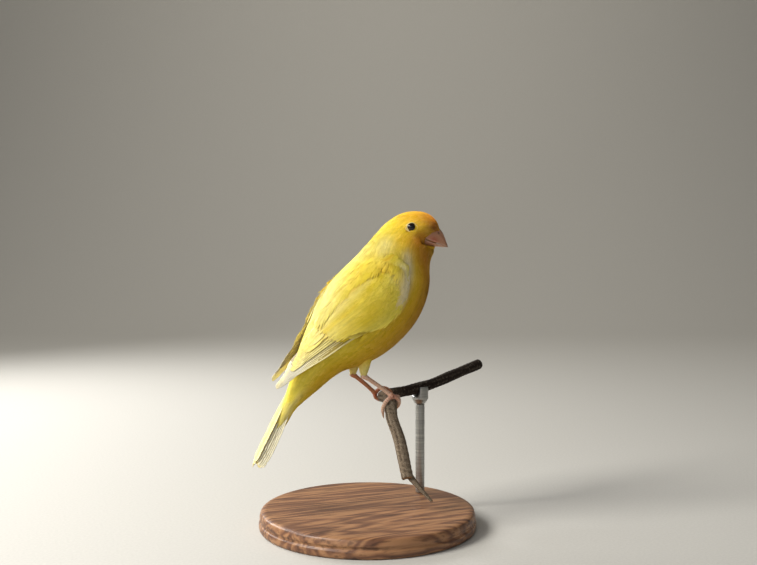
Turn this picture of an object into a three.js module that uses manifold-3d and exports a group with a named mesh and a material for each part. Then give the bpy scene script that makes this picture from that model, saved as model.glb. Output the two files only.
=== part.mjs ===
// A canary at life size, gripping a short length of branch that a plain display stand holds up.
// Millimetres, +Z up. The bird faces +X and its right side is -Y.
// The bird is laid out from the point where its feet grip the branch. The finished group is then
// moved so that its origin is the middle of the underside of the stand's base.
import * as THREE from "three";
import { LoftGeometry } from "three/addons/geometries/LoftGeometry.js";
import { mergeVertices } from "three/addons/utils/BufferGeometryUtils.js";
import Module from "manifold-3d";

const wasm = await Module();
wasm.setup();

const DEGREE = Math.PI / 180;
const RIGHT = -1; // the sign of y on the bird's right side
const LEFT = 1;

// Clearance between neighbouring pieces
const GAP = 0.3;

// The body is a row of upright ribs, from the end of the tail coverts to the base of the bill.
// Each rib gives the back's x and z, the belly's x and z, and half the breadth between them.
const RIBS = [
  [-48.4, -3.6, -45.0, -7.8, 2.4], // end of the tail coverts
  [-45.6, 2.7, -41.2, -2.1, 3.4],
  [-43.2, 9.8, -33.2, 4.2, 5.0],
  [-40.4, 19.2, -22.7, 11.8, 8.5], // vent
  [-36.4, 29.2, -12.6, 14.6, 12.0], // rump and lower belly
  [-31.9, 38.8, -2.2, 19.6, 14.2],
  [-26.5, 47.5, 8.1, 28.3, 15.0], // mantle and belly
  [-20.7, 53.8, 14.2, 37.5, 14.6],
  [-14.4, 59.6, 17.0, 46.7, 13.0], // shoulders and breast
  [-9.4, 64.6, 17.2, 54.6, 10.5],
  [-5.1, 69.2, 18.1, 58.8, 8.6], // nape and throat
  [-1.3, 73.1, 19.3, 61.0, 8.0],
  [4.2, 76.7, 19.8, 62.3, 7.8], // hind crown and chin
  [10.1, 78.1, 20.0, 63.0, 7.4],
  [15.5, 77.5, 20.2, 63.8, 6.6], // forehead
  [19.4, 74.8, 20.4, 64.7, 5.2],
  [21.2, 70.8, 20.7, 66.1, 3.8], // base of the bill
];
const TAIL_CUT = 2.3; // rib numbers at which the body is parted
const NECK_CUT = 8.4;
const HEAD_CUT = 10.0;
const BODY_SIDES = 24;

// The head looks a little to the bird's right, turned about an upright axis in the neck
const HEAD_TURN = -12 * DEGREE;
const TURN_AXIS_X = 6;
const TURN_STARTS = 7.6; // rib numbers between which the neck twists
const TURN_ENDS = 10.4;

// Eyes, given before the head turns
const EYE = { x: 8.1, y: 7.3, z: 71.2, radius: 2.8, sink: 2.3 };
const LID = { radius: 2.1, thickness: 0.5, ahead: 0.15 };

// Bill, given before the head turns: its own axis runs down the line of the mouth from the gape
const GAPE = { x: 14.3, z: 66.5 };
const MOUTH_SLOPE = 18 * DEGREE;
const BILL_LENGTH = 11.4;
const UPPER_BILL = [
  [-0.4, 6.6, 3.3], // distance from the gape, height above the mouth line, half breadth
  [2.0, 7.0, 3.5],
  [4.5, 6.6, 3.4],
  [6.2, 5.7, 3.1],
  [7.6, 4.7, 2.6],
  [9.0, 3.2, 1.9],
  [10.3, 1.6, 1.1],
  [BILL_LENGTH, 0.35, 0.35],
];
const LOWER_BILL = [
  [-0.4, 2.8, 3.0], // distance from the gape, depth below the mouth line, half breadth
  [2.0, 2.4, 3.0],
  [4.0, 1.8, 2.85],
  [6.4, 1.15, 2.35],
  [8.6, 0.65, 1.5],
  [10.1, 0.35, 0.6],
];
const MOUTH_GAP = 0.26;
// Where the feathers of the face end beside the bill, as a distance from the gape along the mouth:
// at the gape itself, at the ridge of the bill and for each mm below the mouth
const FACE_EDGE = { gape: 0.5, ridge: 5.4, ridgeHeight: 5.4, below: 0.4 };
const FACE_TAPER = 0.95; // mm of half breadth that the face gains for each mm behind that edge
const NOSTRIL = { along: 5.1, height: 4.2, y: 2.6, radius: 0.45 };

// Wings: the lower and upper edge of the folded right wing, from wrist to tip
const WING_LOWER = [
  [2.0, -10.4, 53.0],
  [-0.5, -13.7, 42.0],
  [-9.0, -15.3, 32.5],
  [-22.5, -14.4, 25.0],
  [-32.5, -12.0, 18.2],
  [-42.5, -7.6, 12.2],
  [-49.4, -3.9, 6.2],
];
const WING_UPPER = [
  [-5.5, -9.6, 59.0],
  [-15.5, -9.4, 53.0],
  [-24.5, -8.6, 45.0],
  [-31.5, -7.2, 36.0],
  [-37.5, -5.4, 27.0],
  [-43.5, -3.6, 17.5],
  [-50.6, -3.4, 8.8],
];
const WING_LENGTH = 62;
const WRIST_REACH = 0.05; // the rounded front edge, as a share of the length before the wrist
const WRIST_NARROWING = 0.3;
const WING_STANDS_OFF = 0.9; // how far the wing's face lies over the body beside it
const WING_DEPTH = [2.0, 2.2, 2.2, 2.0, 1.5, 1.0, 0.6]; // thickness of its core from wrist to tip
const LEFT_TIP_RISE = 2.4; // the left wing's tip lies this much higher than the right one's
const WING_ROOM = 2.6; // height over the wing's face within which its feathers stay
const WING_CORE_END = 0.62; // share of the wing that has flesh and bone in it

// Feathers of the folded wing, in tiers from the lowest to the topmost. A root or a tip is given
// by its share of the way along and across the wing and its height over the wing's face, for the
// first and the last feather of the tier. Half is half the vane's greatest width.
const WING_TIERS = [
  {
    name: "primaries",
    count: 8,
    half: 2.1,
    camber: 0,
    roots: [[0.36, 0.1, -1.15], [0.42, 0.42, -0.65]],
    tips: [[1.015, 0.34, -0.62], [0.87, 0.86, 0.0]],
    firstShorter: 0.045,
  },
  {
    name: "secondaries",
    count: 4,
    half: 2.8,
    camber: 0,
    roots: [[0.38, 0.4, -0.35], [0.4, 0.76, 0.05]],
    tips: [[0.8, 0.42, -0.1], [0.735, 0.76, 0.35]],
    firstShorter: 0,
  },
  {
    name: "tertials",
    count: 3,
    half: 2.7,
    camber: 0.2,
    roots: [[0.35, 0.66, 0.1], [0.34, 0.84, 0.3]],
    tips: [[0.72, 0.62, 0.5], [0.6, 0.8, 0.85]],
    firstShorter: 0,
  },
  {
    name: "greater coverts",
    count: 5,
    half: 2.9,
    camber: 0,
    roots: [[0.22, 0.14, -0.1], [0.18, 0.86, -0.1]],
    tips: [[0.48, 0.16, 0.5], [0.44, 0.86, 1.1]],
    firstShorter: 0,
  },
  {
    name: "median coverts",
    count: 4,
    half: 3.2,
    camber: 0,
    roots: [[0.06, 0.18, 0.0], [0.04, 0.82, 0.0]],
    tips: [[0.28, 0.16, 0.95], [0.27, 0.84, 1.25]],
    firstShorter: 0,
  },
];

// Tail
const TAIL_ROOT = [-43.7, 6.9];
const TAIL_TIP = [-60.2, -24.6];
const TAIL_PAIRS = 6;
const TAIL_STEP = 0.56; // sideways from one feather to the next
const TAIL_LAYER = 0.27; // down from one feather to the next
const TAIL_SLOPE = 30 * DEGREE; // how steeply each side of the folded tail slopes, like a roof
const TAIL_ROLL = -14 * DEGREE; // the whole tail leans over to the bird's right
const TAIL_VANE_HALF = 2.0;
const TAIL_NOTCH = 2.4; // how much shorter the middle pair is than the longest
const TAIL_OUTER_SHORTER = 0.9;
const TAIL_LEFT_LONGER = 1.3; // the left feathers show beyond the right ones
const COVERT_VANES = 6;
const COVERT_VANE_REACH = 5.0;

// Vanes
const VANE_THICKNESS = 0.5;
// shares of a vane's length, and its width there as a share of the widest
const VANE_OUTLINE = [[0, 0.6], [0.4, 1.0], [0.78, 0.94], [0.94, 0.6], [1, 0.16]];
const COVERT_OUTLINE = [[0, 0.7], [0.55, 1.0], [0.9, 0.72], [1, 0.2]];
const FEATHER_SEED = 7;

// Branch: its centre line from the far broken end, past the left and right feet, to the near end
const BRANCH_PATH = [
  [55.4, 25.5, 8.9],
  [41.3, 20.0, 5.9],
  [25.6, 15.0, 2.3],
  [14.5, 12.0, 0.8],
  [5.5, 9.3, 0.3],
  [-1.2, 4.6, 0.0],
  [-1.9, -4.6, 0.0],
  [-2.5, -8.2, -7.0],
  [-0.9, -12.4, -16.0],
  [0.4, -17.4, -29.8],
];
const BRANCH_RADIUS = 2.25;
const BRANCH_SIDES = 9;
const TWIG_PATH = [
  [1.0, -16.4, -28.6],
  [2.8, -18.9, -31.6],
  [5.2, -21.4, -35.0],
  [8.1, -23.8, -38.6],
];
const TWIG_RADIUS = [1.5, 1.1, 0.8, 0.5];

// Legs
const ANKLE = { right: [-13.7, -5.0, 10.5], left: [-14.7, 5.0, 10.0] };
const FOOT_ON_BRANCH = { right: [-1.9, -5.3, -0.8], left: [-1.2, 4.6, 0] };
const FOOT_ROLL = { right: 0, left: -70 }; // degrees back from the top of the branch
const TARSUS_RADIUS = 0.95;
const TOE_RADIUS = 0.8;
const THIGH_TOP = { x: -13.2, y: 4.9, z: 22.0, radius: 4.8 };
const THIGH_END_RADIUS = 2.0;
// Toes: the degrees that each reaches round the branch, that its claw goes on, and how far it
// spreads along the branch towards the other foot
const TOES = [
  { name: "inner", start: 6, reach: 112, claw: 42, spread: 2.6 },
  { name: "middle", start: 4, reach: 142, claw: 46, spread: 0.3 },
  { name: "outer", start: 6, reach: 118, claw: 42, spread: -2.2 },
  { name: "hind", start: -4, reach: -104, claw: -24, spread: -4.6 },
];

// Stand
const BASE = { x: -10, radius: 45, thickness: 8, edge: 1.6, top: -45 };
const ROD = { x: 20, radius: 2.0 };
const CRADLE = { radius: 3.6, height: 7.0 };

const point = (p) => new THREE.Vector3(p[0], p[1], p[2]);
const mix = (a, b, t) => a + (b - a) * t;
const mixAll = (from, to, t) => from.map((value, n) => mix(value, to[n], t));
const smoothstep = (t) => {
  const s = Math.min(1, Math.max(0, t));
  return s * s * (3 - 2 * s);
};

// A smooth line through the values of a column, read at a fractional row number.
function between(values, row) {
  const last = values.length - 1;
  const i = Math.min(last - 1, Math.max(0, Math.floor(row)));
  const t = row - i;
  const a = values[Math.max(0, i - 1)];
  const b = values[i];
  const c = values[i + 1];
  const d = values[Math.min(last, i + 2)];
  const slopeB = i === 0 ? c - b : (c - a) / 2;
  const slopeC = i + 1 === last ? c - b : (d - b) / 2;
  const t2 = t * t;
  const t3 = t2 * t;
  return (
    (2 * t3 - 3 * t2 + 1) * b + (t3 - 2 * t2 + t) * slopeB + (3 * t2 - 2 * t3) * c + (t3 - t2) * slopeC
  );
}
const column = (rows, n) => rows.map((row) => row[n]);

// A closed geometry as a solid with its faces out, whichever way round its sections ran.
function solid(geometry) {
  const bare = new THREE.BufferGeometry();
  bare.setAttribute("position", geometry.getAttribute("position"));
  bare.setIndex(geometry.getIndex());
  const merged = mergeVertices(bare, 1e-4);
  const vertProperties = merged.getAttribute("position").array;
  const triVerts = new Uint32Array(merged.getIndex().array);
  const made = new wasm.Manifold(new wasm.Mesh({ numProp: 3, vertProperties, triVerts }));
  if (made.volume() > 0) return made;
  for (let i = 0; i < triVerts.length; i += 3) {
    [triVerts[i + 1], triVerts[i + 2]] = [triVerts[i + 2], triVerts[i + 1]];
  }
  return new wasm.Manifold(new wasm.Mesh({ numProp: 3, vertProperties, triVerts }));
}

// Sections that run the wrong way round for their direction of travel are turned round first.
function loft(rings) {
  const first = rings[0];
  const middle = first.reduce((sum, p) => sum.add(p), new THREE.Vector3()).divideScalar(first.length);
  const facing = new THREE.Vector3();
  first.forEach((p, i) => {
    const next = first[(i + 1) % first.length];
    facing.add(p.clone().sub(middle).cross(next.clone().sub(middle)));
  });
  const travel = rings[1].reduce((sum, p) => sum.add(p), new THREE.Vector3()).divideScalar(first.length);
  travel.sub(middle);
  const ordered = facing.dot(travel) > 0 ? rings : rings.map((ring) => ring.slice().reverse());
  return solid(new LoftGeometry(ordered, { capStart: true, capEnd: true }));
}

const union = (solids) => solids.reduce((sum, next) => sum.add(next));

// A node keeps only its largest closed surface.
function largest(made) {
  const bodies = made.decompose();
  return bodies.reduce((best, next) => (next.volume() > best.volume() ? next : best));
}

function node(name, made, material) {
  const mesh = largest(made).getMesh();
  const geometry = new THREE.BufferGeometry();
  geometry.setAttribute("position", new THREE.BufferAttribute(new Float32Array(mesh.vertProperties), 3));
  geometry.setIndex(new THREE.BufferAttribute(new Uint32Array(mesh.triVerts), 1));
  geometry.computeVertexNormals();
  const object = new THREE.Mesh(geometry, material);
  object.name = name;
  return object;
}

const finish = (color, roughness, metalness = 0) =>
  new THREE.MeshStandardMaterial({ color, roughness, metalness });
const PLUMAGE = finish(0xf3d13a, 0.85);
const HEAD_PLUMAGE = finish(0xeeb21f, 0.85);
const FLIGHT_FEATHER = finish(0xf2e48a, 0.7);
const BILL_HORN = finish(0xd9a48c, 0.45);
const EYE_BLACK = finish(0x0b0d12, 0.08);
const LEG_SKIN = finish(0xc98a72, 0.6);
const BARK = finish(0x6e5d50, 0.95);
const BASE_WOOD = finish(0x8a5a34, 0.5);
const ROD_METAL = finish(0xb8b8b5, 0.3, 1);

// A round form carried along a line of centres, with one radius for each.
function sweep(centres, radii, sides, squash = 1) {
  const rings = [];
  let normal = null;
  centres.forEach((centre, i) => {
    const ahead = centres[Math.min(centres.length - 1, i + 1)];
    const behind = centres[Math.max(0, i - 1)];
    const tangent = ahead.clone().sub(behind).normalize();
    if (!normal) {
      const across = Math.abs(tangent.z) > 0.9 ? point([1, 0, 0]) : point([0, 0, 1]);
      normal = across;
    }
    normal = normal.clone().addScaledVector(tangent, -normal.dot(tangent)).normalize();
    const binormal = tangent.clone().cross(normal);
    const ring = [];
    for (let j = 0; j < sides; j++) {
      const angle = (2 * Math.PI * j) / sides;
      ring.push(
        centre
          .clone()
          .addScaledVector(normal, radii[i] * squash * Math.cos(angle))
          .addScaledVector(binormal, radii[i] * Math.sin(angle)),
      );
    }
    rings.push(ring);
  });
  return loft(rings);
}

// Small differences between one feather and the next, the same in every build.
let randomState = FEATHER_SEED;
function vary(amount) {
  randomState = (randomState * 16807) % 2147483647;
  return ((randomState / 2147483647) * 2 - 1) * amount;
}

// A feather's vane: rows across it, each with a face over and one under. Both faces are split
// alike, so that a thin vane can bend and twist. A camber lifts the shaft over the edges.
function vane(rows, camber = 0) {
  const places = camber > 0 ? [-1, 0, 1] : [-1, 1];
  const positions = [];
  for (const { centre, out, across, half, thickness } of rows) {
    for (const place of places) {
      const middle = centre.clone().addScaledVector(across, place * half);
      if (place === 0) middle.addScaledVector(out, camber);
      for (const face of [0.5, -0.5]) {
        const corner = middle.clone().addScaledVector(out, face * thickness);
        positions.push(corner.x, corner.y, corner.z);
      }
    }
  }
  const upper = (i, j) => (i * places.length + j) * 2;
  const lower = (i, j) => upper(i, j) + 1;
  const indices = [];
  const quad = (a, b, c, d) => indices.push(a, b, c, a, c, d);
  const last = rows.length - 1;
  const edge = places.length - 1;
  for (let i = 0; i < last; i++) {
    for (let j = 0; j < edge; j++) {
      quad(upper(i, j), upper(i + 1, j), upper(i + 1, j + 1), upper(i, j + 1));
      indices.push(lower(i, j), lower(i + 1, j + 1), lower(i + 1, j));
      indices.push(lower(i, j), lower(i, j + 1), lower(i + 1, j + 1));
    }
    quad(upper(i, 0), lower(i, 0), lower(i + 1, 0), upper(i + 1, 0));
    quad(upper(i, edge), upper(i + 1, edge), lower(i + 1, edge), lower(i, edge));
  }
  for (let j = 0; j < edge; j++) {
    quad(upper(0, j), upper(0, j + 1), lower(0, j + 1), lower(0, j));
    quad(upper(last, j), lower(last, j), lower(last, j + 1), upper(last, j + 1));
  }
  const geometry = new THREE.BufferGeometry();
  geometry.setAttribute("position", new THREE.Float32BufferAttribute(positions, 3));
  geometry.setIndex(indices);
  return solid(geometry);
}

// Head turn
function turned(v, share = 1) {
  const angle = HEAD_TURN * share;
  const x = v.x - TURN_AXIS_X;
  const y = v.y;
  return new THREE.Vector3(
    TURN_AXIS_X + x * Math.cos(angle) - y * Math.sin(angle),
    x * Math.sin(angle) + y * Math.cos(angle),
    v.z,
  );
}

// Half the bill's breadth at a height over the mouth line, or under it.
function hornBreadth(height) {
  const [, tall, half] = height > 0 ? UPPER_BILL[1] : LOWER_BILL[1];
  return half * Math.sqrt(Math.max(0, 1 - (Math.abs(height) / tall) ** 2.35));
}

// The most that half the face's breadth may be at a place in the side view: behind its edge it
// widens evenly from the bill's own breadth, and in front of the edge it lies inside the bill.
// Swell moves its edge forwards, its chin upwards and its sides out.
function faceBreadth(x, z, swell) {
  const along = (x - GAPE.x) * Math.cos(MOUTH_SLOPE) - (z - GAPE.z) * Math.sin(MOUTH_SLOPE);
  const height = (x - GAPE.x) * Math.sin(MOUTH_SLOPE) + (z - GAPE.z) * Math.cos(MOUTH_SLOPE);
  const above = (Math.max(height, 0) / FACE_EDGE.ridgeHeight) ** 1.6;
  const edge = mix(FACE_EDGE.gape, FACE_EDGE.ridge, above) + FACE_EDGE.below * Math.max(-height, 0);
  const chin = 8 * smoothstep(2.6 * swell - height - 2 + 0.1 * along);
  const sides = hornBreadth(height) + FACE_TAPER * (edge + swell - along);
  return Math.max(0.4, sides) + swell + chin;
}

// One ring of the body at a rib number, pushed out by swell and along the body by shift.
function bodyRing(rib, swell = 0, shift = 0) {
  const back = { x: between(column(RIBS, 0), rib), z: between(column(RIBS, 1), rib) };
  const belly = { x: between(column(RIBS, 2), rib), z: between(column(RIBS, 3), rib) };
  const half = between(column(RIBS, 4), rib) + swell;
  const centre = { x: (back.x + belly.x) / 2, z: (back.z + belly.z) / 2 };
  const depth = Math.hypot(back.x - belly.x, back.z - belly.z) / 2;
  const up = { x: (back.x - centre.x) / depth, z: (back.z - centre.z) / depth };
  const twist = smoothstep((rib - TURN_STARTS) / (TURN_ENDS - TURN_STARTS));
  const ring = [];
  for (let j = 0; j < BODY_SIDES; j++) {
    const angle = (2 * Math.PI * j) / BODY_SIDES;
    const rise = (depth + swell) * Math.cos(angle);
    const x = centre.x + up.x * rise;
    const z = centre.z + up.z * rise;
    const side = -half * Math.sin(angle);
    const y = side / (1 + (side / faceBreadth(x, z, swell)) ** 6) ** (1 / 6);
    ring.push(turned(new THREE.Vector3(x + up.z * shift, y, z - up.x * shift), twist));
  }
  return ring;
}

// A length of the body between two rib numbers, its ends moved apart from its neighbours.
function bodyLength(from, to, steps, { swell = 0, startShift = 0, endShift = 0 } = {}) {
  const rings = [];
  for (let i = 0; i <= steps; i++) {
    const shift = i === 0 ? startShift : i === steps ? endShift : 0;
    rings.push(bodyRing(mix(from, to, i / steps), swell, shift));
  }
  return loft(rings);
}

const LAST_RIB = RIBS.length - 1;
const swollenTorso = bodyLength(0.6, 9.6, 22, { swell: GAP, startShift: -GAP, endShift: GAP });
const HEAD_STEPS = 17;
const swollenHead = bodyLength(HEAD_CUT, LAST_RIB, HEAD_STEPS, { swell: GAP, endShift: GAP });

// Eyes: a ball sunk in the head, and a raised ring of lid round what shows of it
function eyeCentre(side) {
  return turned(new THREE.Vector3(EYE.x, side * (EYE.y - EYE.sink), EYE.z));
}

function eyeBall(side, radius) {
  const ball = new THREE.SphereGeometry(radius, 14, 9);
  ball.rotateX(-side * 90 * DEGREE);
  const centre = eyeCentre(side);
  ball.translate(centre.x, centre.y, centre.z);
  return solid(ball);
}

function eyeLid(side) {
  const ring = new THREE.TorusGeometry(LID.radius, LID.thickness, 6, 14);
  ring.rotateX(90 * DEGREE);
  ring.rotateZ(HEAD_TURN);
  const centre = turned(new THREE.Vector3(EYE.x, side * (EYE.y + LID.ahead), EYE.z));
  ring.translate(centre.x, centre.y, centre.z);
  return solid(ring);
}

function head() {
  let made = bodyLength(HEAD_CUT, LAST_RIB, HEAD_STEPS, { startShift: GAP / 2 });
  for (const side of [RIGHT, LEFT]) {
    made = made.add(eyeLid(side)).subtract(eyeBall(side, EYE.radius + GAP));
  }
  return made;
}

// Bill: a point given by its distance from the gape, its height over the mouth line and y
function billPoint(along, height, y) {
  return turned(
    new THREE.Vector3(
      GAPE.x + along * Math.cos(MOUTH_SLOPE) + height * Math.sin(MOUTH_SLOPE),
      y,
      GAPE.z - along * Math.sin(MOUTH_SLOPE) + height * Math.cos(MOUTH_SLOPE),
    ),
  );
}

// One half of the bill: arched sections over, or under, a flat face along the mouth.
function mandible(rows, sign) {
  const steps = 2 * (rows.length - 1);
  const archPoints = 9;
  const rings = [];
  for (let i = 0; i <= steps; i++) {
    const row = i / 2;
    const along = between(column(rows, 0), row);
    const height = between(column(rows, 1), row);
    const half = between(column(rows, 2), row);
    const ring = [];
    for (let j = 0; j < archPoints; j++) {
      const angle = (Math.PI * j) / (archPoints - 1);
      const lift = (MOUTH_GAP / 2 + height * Math.sin(angle) ** 0.85) * sign;
      ring.push(billPoint(along, lift, half * Math.cos(angle)));
    }
    rings.push(ring);
  }
  return loft(rings);
}

function upperBill() {
  let made = mandible(UPPER_BILL, 1).subtract(swollenHead);
  for (const side of [RIGHT, LEFT]) {
    const hole = new THREE.SphereGeometry(NOSTRIL.radius, 8, 6);
    const centre = billPoint(NOSTRIL.along, NOSTRIL.height, side * NOSTRIL.y);
    hole.translate(centre.x, centre.y, centre.z);
    made = made.subtract(solid(hole));
  }
  return made;
}

const lowerBill = () => mandible(LOWER_BILL, -1).subtract(swollenHead);

// Half the body's breadth at a place in the side view, or 0 outside its outline.
function bodyBreadthAt(x, z) {
  let low = 0;
  let high = LAST_RIB;
  const ribFacts = (rib) => {
    const back = [between(column(RIBS, 0), rib), between(column(RIBS, 1), rib)];
    const belly = [between(column(RIBS, 2), rib), between(column(RIBS, 3), rib)];
    const depth = Math.hypot(back[0] - belly[0], back[1] - belly[1]) / 2;
    const up = [(back[0] - belly[0]) / depth / 2, (back[1] - belly[1]) / depth / 2];
    const offset = [x - (back[0] + belly[0]) / 2, z - (back[1] + belly[1]) / 2];
    return {
      ahead: offset[0] * up[1] - offset[1] * up[0],
      rise: (offset[0] * up[0] + offset[1] * up[1]) / depth,
    };
  };
  for (let i = 0; i < 30; i++) {
    const rib = (low + high) / 2;
    if (ribFacts(rib).ahead > 0) low = rib;
    else high = rib;
  }
  const { rise } = ribFacts(low);
  return Math.abs(rise) < 1 ? between(column(RIBS, 4), low) * Math.sqrt(1 - rise * rise) : 0;
}

// Wings: a point on the outer face, from wrist (0) to tip (1) and from lower (0) to upper edge (1).
// The face lies over the body where there is body beside it, and runs free beyond it.
function wingFace(side, along, across) {
  const row = along * (WING_LOWER.length - 1);
  const lower = (n) => between(column(WING_LOWER, n), row);
  const upper = (n) => between(column(WING_UPPER, n), row);
  const x = mix(lower(0), upper(0), across);
  const free = -mix(lower(1), upper(1), across);
  const z = mix(lower(2), upper(2), across);
  const over = bodyBreadthAt(x, z) + WING_STANDS_OFF;
  const blend = 1.0;
  const y = (free + over + Math.hypot(free - over, blend)) / 2 - blend / 4;
  const rise = side === LEFT ? LEFT_TIP_RISE * smoothstep((along - 0.5) * 2) : 0;
  return new THREE.Vector3(x, side * y, z + rise);
}

function wingOut(side, along, across) {
  const step = 0.02;
  const run = wingFace(side, along + step, across).sub(wingFace(side, along - step, across));
  const rise = wingFace(side, along, across + step).sub(wingFace(side, along, across - step));
  const out = run.cross(rise).normalize();
  return out.y * side < 0 ? out.negate() : out;
}

function wingPoint(side, along, across, lift) {
  return wingFace(side, along, across).addScaledVector(wingOut(side, along, across), lift);
}

// A pad in the wing's outline, from its rounded front edge to a share of its length. Its face
// lies over the wing's own by top. Extra is how much further in its inner side is, and how much further out
// its edges and ends are.
function wingPad(side, { to = 1, top = 0, extra = 0 }) {
  const steps = 12;
  const acrossSteps = 4;
  const rings = [];
  for (let i = 0; i <= steps; i++) {
    const station = mix(-WRIST_REACH, to, i / steps);
    const narrower = WRIST_NARROWING * (1 - smoothstep((station + WRIST_REACH) / 0.13));
    const beyond = i === 0 ? -extra : i === steps ? extra : 0;
    const along = station + beyond / WING_LENGTH;
    const depth = between(WING_DEPTH, along * (WING_DEPTH.length - 1)) + extra;
    const width = wingFace(side, along, 0).distanceTo(wingFace(side, along, 1));
    const over = [];
    const under = [];
    for (let j = 0; j <= acrossSteps; j++) {
      const inset = narrower - extra / width;
      const across = mix(inset, 1 - inset, j / acrossSteps);
      over.push(wingPoint(side, along, across, top));
      under.unshift(wingPoint(side, along, across, -depth));
    }
    rings.push([...over, ...under]);
  }
  return loft(rings);
}

// What the body and tail leave free for a wing
function wingRoom(side) {
  return wingPad(side, { top: WING_ROOM, extra: GAP });
}

function wingVane(side, tier, place) {
  const root = mixAll(tier.roots[0], tier.roots[1], place);
  const tip = mixAll(tier.tips[0], tier.tips[1], place);
  tip[0] += vary(0.006) - (place === 0 ? tier.firstShorter : 0);
  const spot = (t) => wingPoint(side, ...mixAll(root, tip, t));
  const outline = tier.name.endsWith("coverts") ? COVERT_OUTLINE : VANE_OUTLINE;
  const rows = outline.map(([t, width]) => {
    const [along, across] = mixAll(root, tip, t);
    const out = wingOut(side, along, across);
    const run = spot(t + 0.02).sub(spot(t - 0.02));
    return {
      centre: spot(t),
      out,
      across: out.clone().cross(run).normalize(),
      half: tier.half * width,
      thickness: VANE_THICKNESS * mix(1, 0.8, t),
    };
  });
  return vane(rows, tier.camber);
}

function wing(side) {
  const pieces = [wingPad(side, { to: WING_CORE_END, top: -0.3 })];
  for (const tier of WING_TIERS) {
    for (let i = 0; i < tier.count; i++) pieces.push(wingVane(side, tier, i / (tier.count - 1)));
  }
  return union(pieces).intersect(wingPad(side, { top: WING_ROOM }));
}

const clearOfWings = (made) => made.subtract(wingRoom(RIGHT)).subtract(wingRoom(LEFT));

function torso() {
  const whole = bodyLength(TAIL_CUT, NECK_CUT, 16, { startShift: GAP / 2, endShift: -GAP / 2 });
  return clearOfWings(whole);
}

function neck() {
  const whole = bodyLength(NECK_CUT, HEAD_CUT, 6, { startShift: GAP / 2, endShift: -GAP / 2 });
  return clearOfWings(whole);
}

// Tail: its axis runs along the ridge of the folded, roof-shaped stack of feathers
const tailRoot = new THREE.Vector3(TAIL_ROOT[0], 0, TAIL_ROOT[1]);
const tailTip = new THREE.Vector3(TAIL_TIP[0], 0, TAIL_TIP[1]);
const tailAxis = tailTip.clone().sub(tailRoot).normalize();
const tailUp = new THREE.Vector3(tailAxis.z, 0, -tailAxis.x);
const tailLength = tailRoot.distanceTo(tailTip);

// One tail feather: pair 0 is the middle pair, on top, and each next pair lies under and outside.
function tailVane(side, pair) {
  const outer = pair / (TAIL_PAIRS - 1);
  const shorter = TAIL_NOTCH * (1 - outer) ** 1.5 + (outer === 1 ? TAIL_OUTER_SHORTER : 0);
  const length = tailLength - shorter - (side === RIGHT ? TAIL_LEFT_LONGER : 0) + vary(0.35);
  const slope = TAIL_SLOPE * smoothstep(0.25 + outer);
  const rolled = (y, up) =>
    new THREE.Vector3(0, y, 0).addScaledVector(tailUp, up).applyAxisAngle(tailAxis, TAIL_ROLL);
  const across = rolled(Math.cos(slope), -side * Math.sin(slope));
  const out = rolled(side * Math.sin(slope), Math.cos(slope));
  const rows = VANE_OUTLINE.map(([t, width]) => {
    const spread = mix(0.62, 1, smoothstep(t * 1.4)) * mix(1, 0.9, smoothstep((t - 0.8) * 5));
    const aside = TAIL_STEP * (0.7 + pair) * spread;
    const drop = 0.4 + aside * Math.tan(TAIL_SLOPE) + TAIL_LAYER * pair;
    const centre = rolled(side * aside, -drop).add(tailRoot).addScaledVector(tailAxis, length * t);
    return { centre, out, across, half: TAIL_VANE_HALF * width, thickness: VANE_THICKNESS * mix(1, 0.8, t) };
  });
  return vane(rows);
}

// A point on the body's last ribs, at a share of the way round them
function lastRibPoint(rib, around, swell) {
  const ring = bodyRing(rib, swell);
  const place = around * BODY_SIDES;
  const first = Math.floor(place);
  return ring[first].clone().lerp(ring[(first + 1) % BODY_SIDES], place - first);
}

// A covert at the root of the tail: rooted in the body's last ribs, its tip lying on the tail
function covertVane(around) {
  const reach = COVERT_VANE_REACH + vary(0.7);
  const end = lastRibPoint(0, around, 0.1);
  const inward = lastRibPoint(0, (around + 0.5) % 1, 0.1).sub(end).multiplyScalar(0.5);
  const out = inward.clone().negate().normalize();
  const across = out.clone().cross(tailAxis).normalize();
  const onBody = 0.55; // the share of the covert that lies on the body
  const rows = COVERT_OUTLINE.map(([t, width]) => {
    const beyond = Math.max(0, t - onBody) / (1 - onBody);
    const before = Math.max(0, 1 - t / onBody);
    const centre = lastRibPoint(1.9 * before, around, 0.1 - 0.6 * before);
    centre.addScaledVector(tailAxis, reach * beyond).addScaledVector(inward, 0.16 * beyond);
    return { centre, out, across, half: 2.1 * width, thickness: VANE_THICKNESS };
  });
  return vane(rows);
}

function tail() {
  const pieces = [bodyLength(0, TAIL_CUT, 7, { endShift: -GAP / 2 })];
  for (let pair = TAIL_PAIRS - 1; pair >= 0; pair--) {
    for (const side of [RIGHT, LEFT]) pieces.push(tailVane(side, pair));
  }
  for (let i = 0; i < COVERT_VANES; i++) pieces.push(covertVane(i / COVERT_VANES));
  return clearOfWings(union(pieces));
}

// Branch
const branchCurve = new THREE.CatmullRomCurve3(BRANCH_PATH.map(point), false, "centripetal");
const BRANCH_LENGTH = branchCurve.getLength();

function branchTube(extra) {
  const steps = 28;
  const centres = [];
  const radii = [];
  for (let i = 0; i <= steps; i++) {
    const share = i / steps;
    centres.push(branchCurve.getPointAt(share));
    radii.push(BRANCH_RADIUS + 0.2 * share + 0.07 * Math.sin(37 * share) + extra);
  }
  return sweep(centres, radii, BRANCH_SIDES);
}

function branch() {
  return branchTube(0).add(sweep(TWIG_PATH.map(point), TWIG_RADIUS, 8));
}

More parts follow.
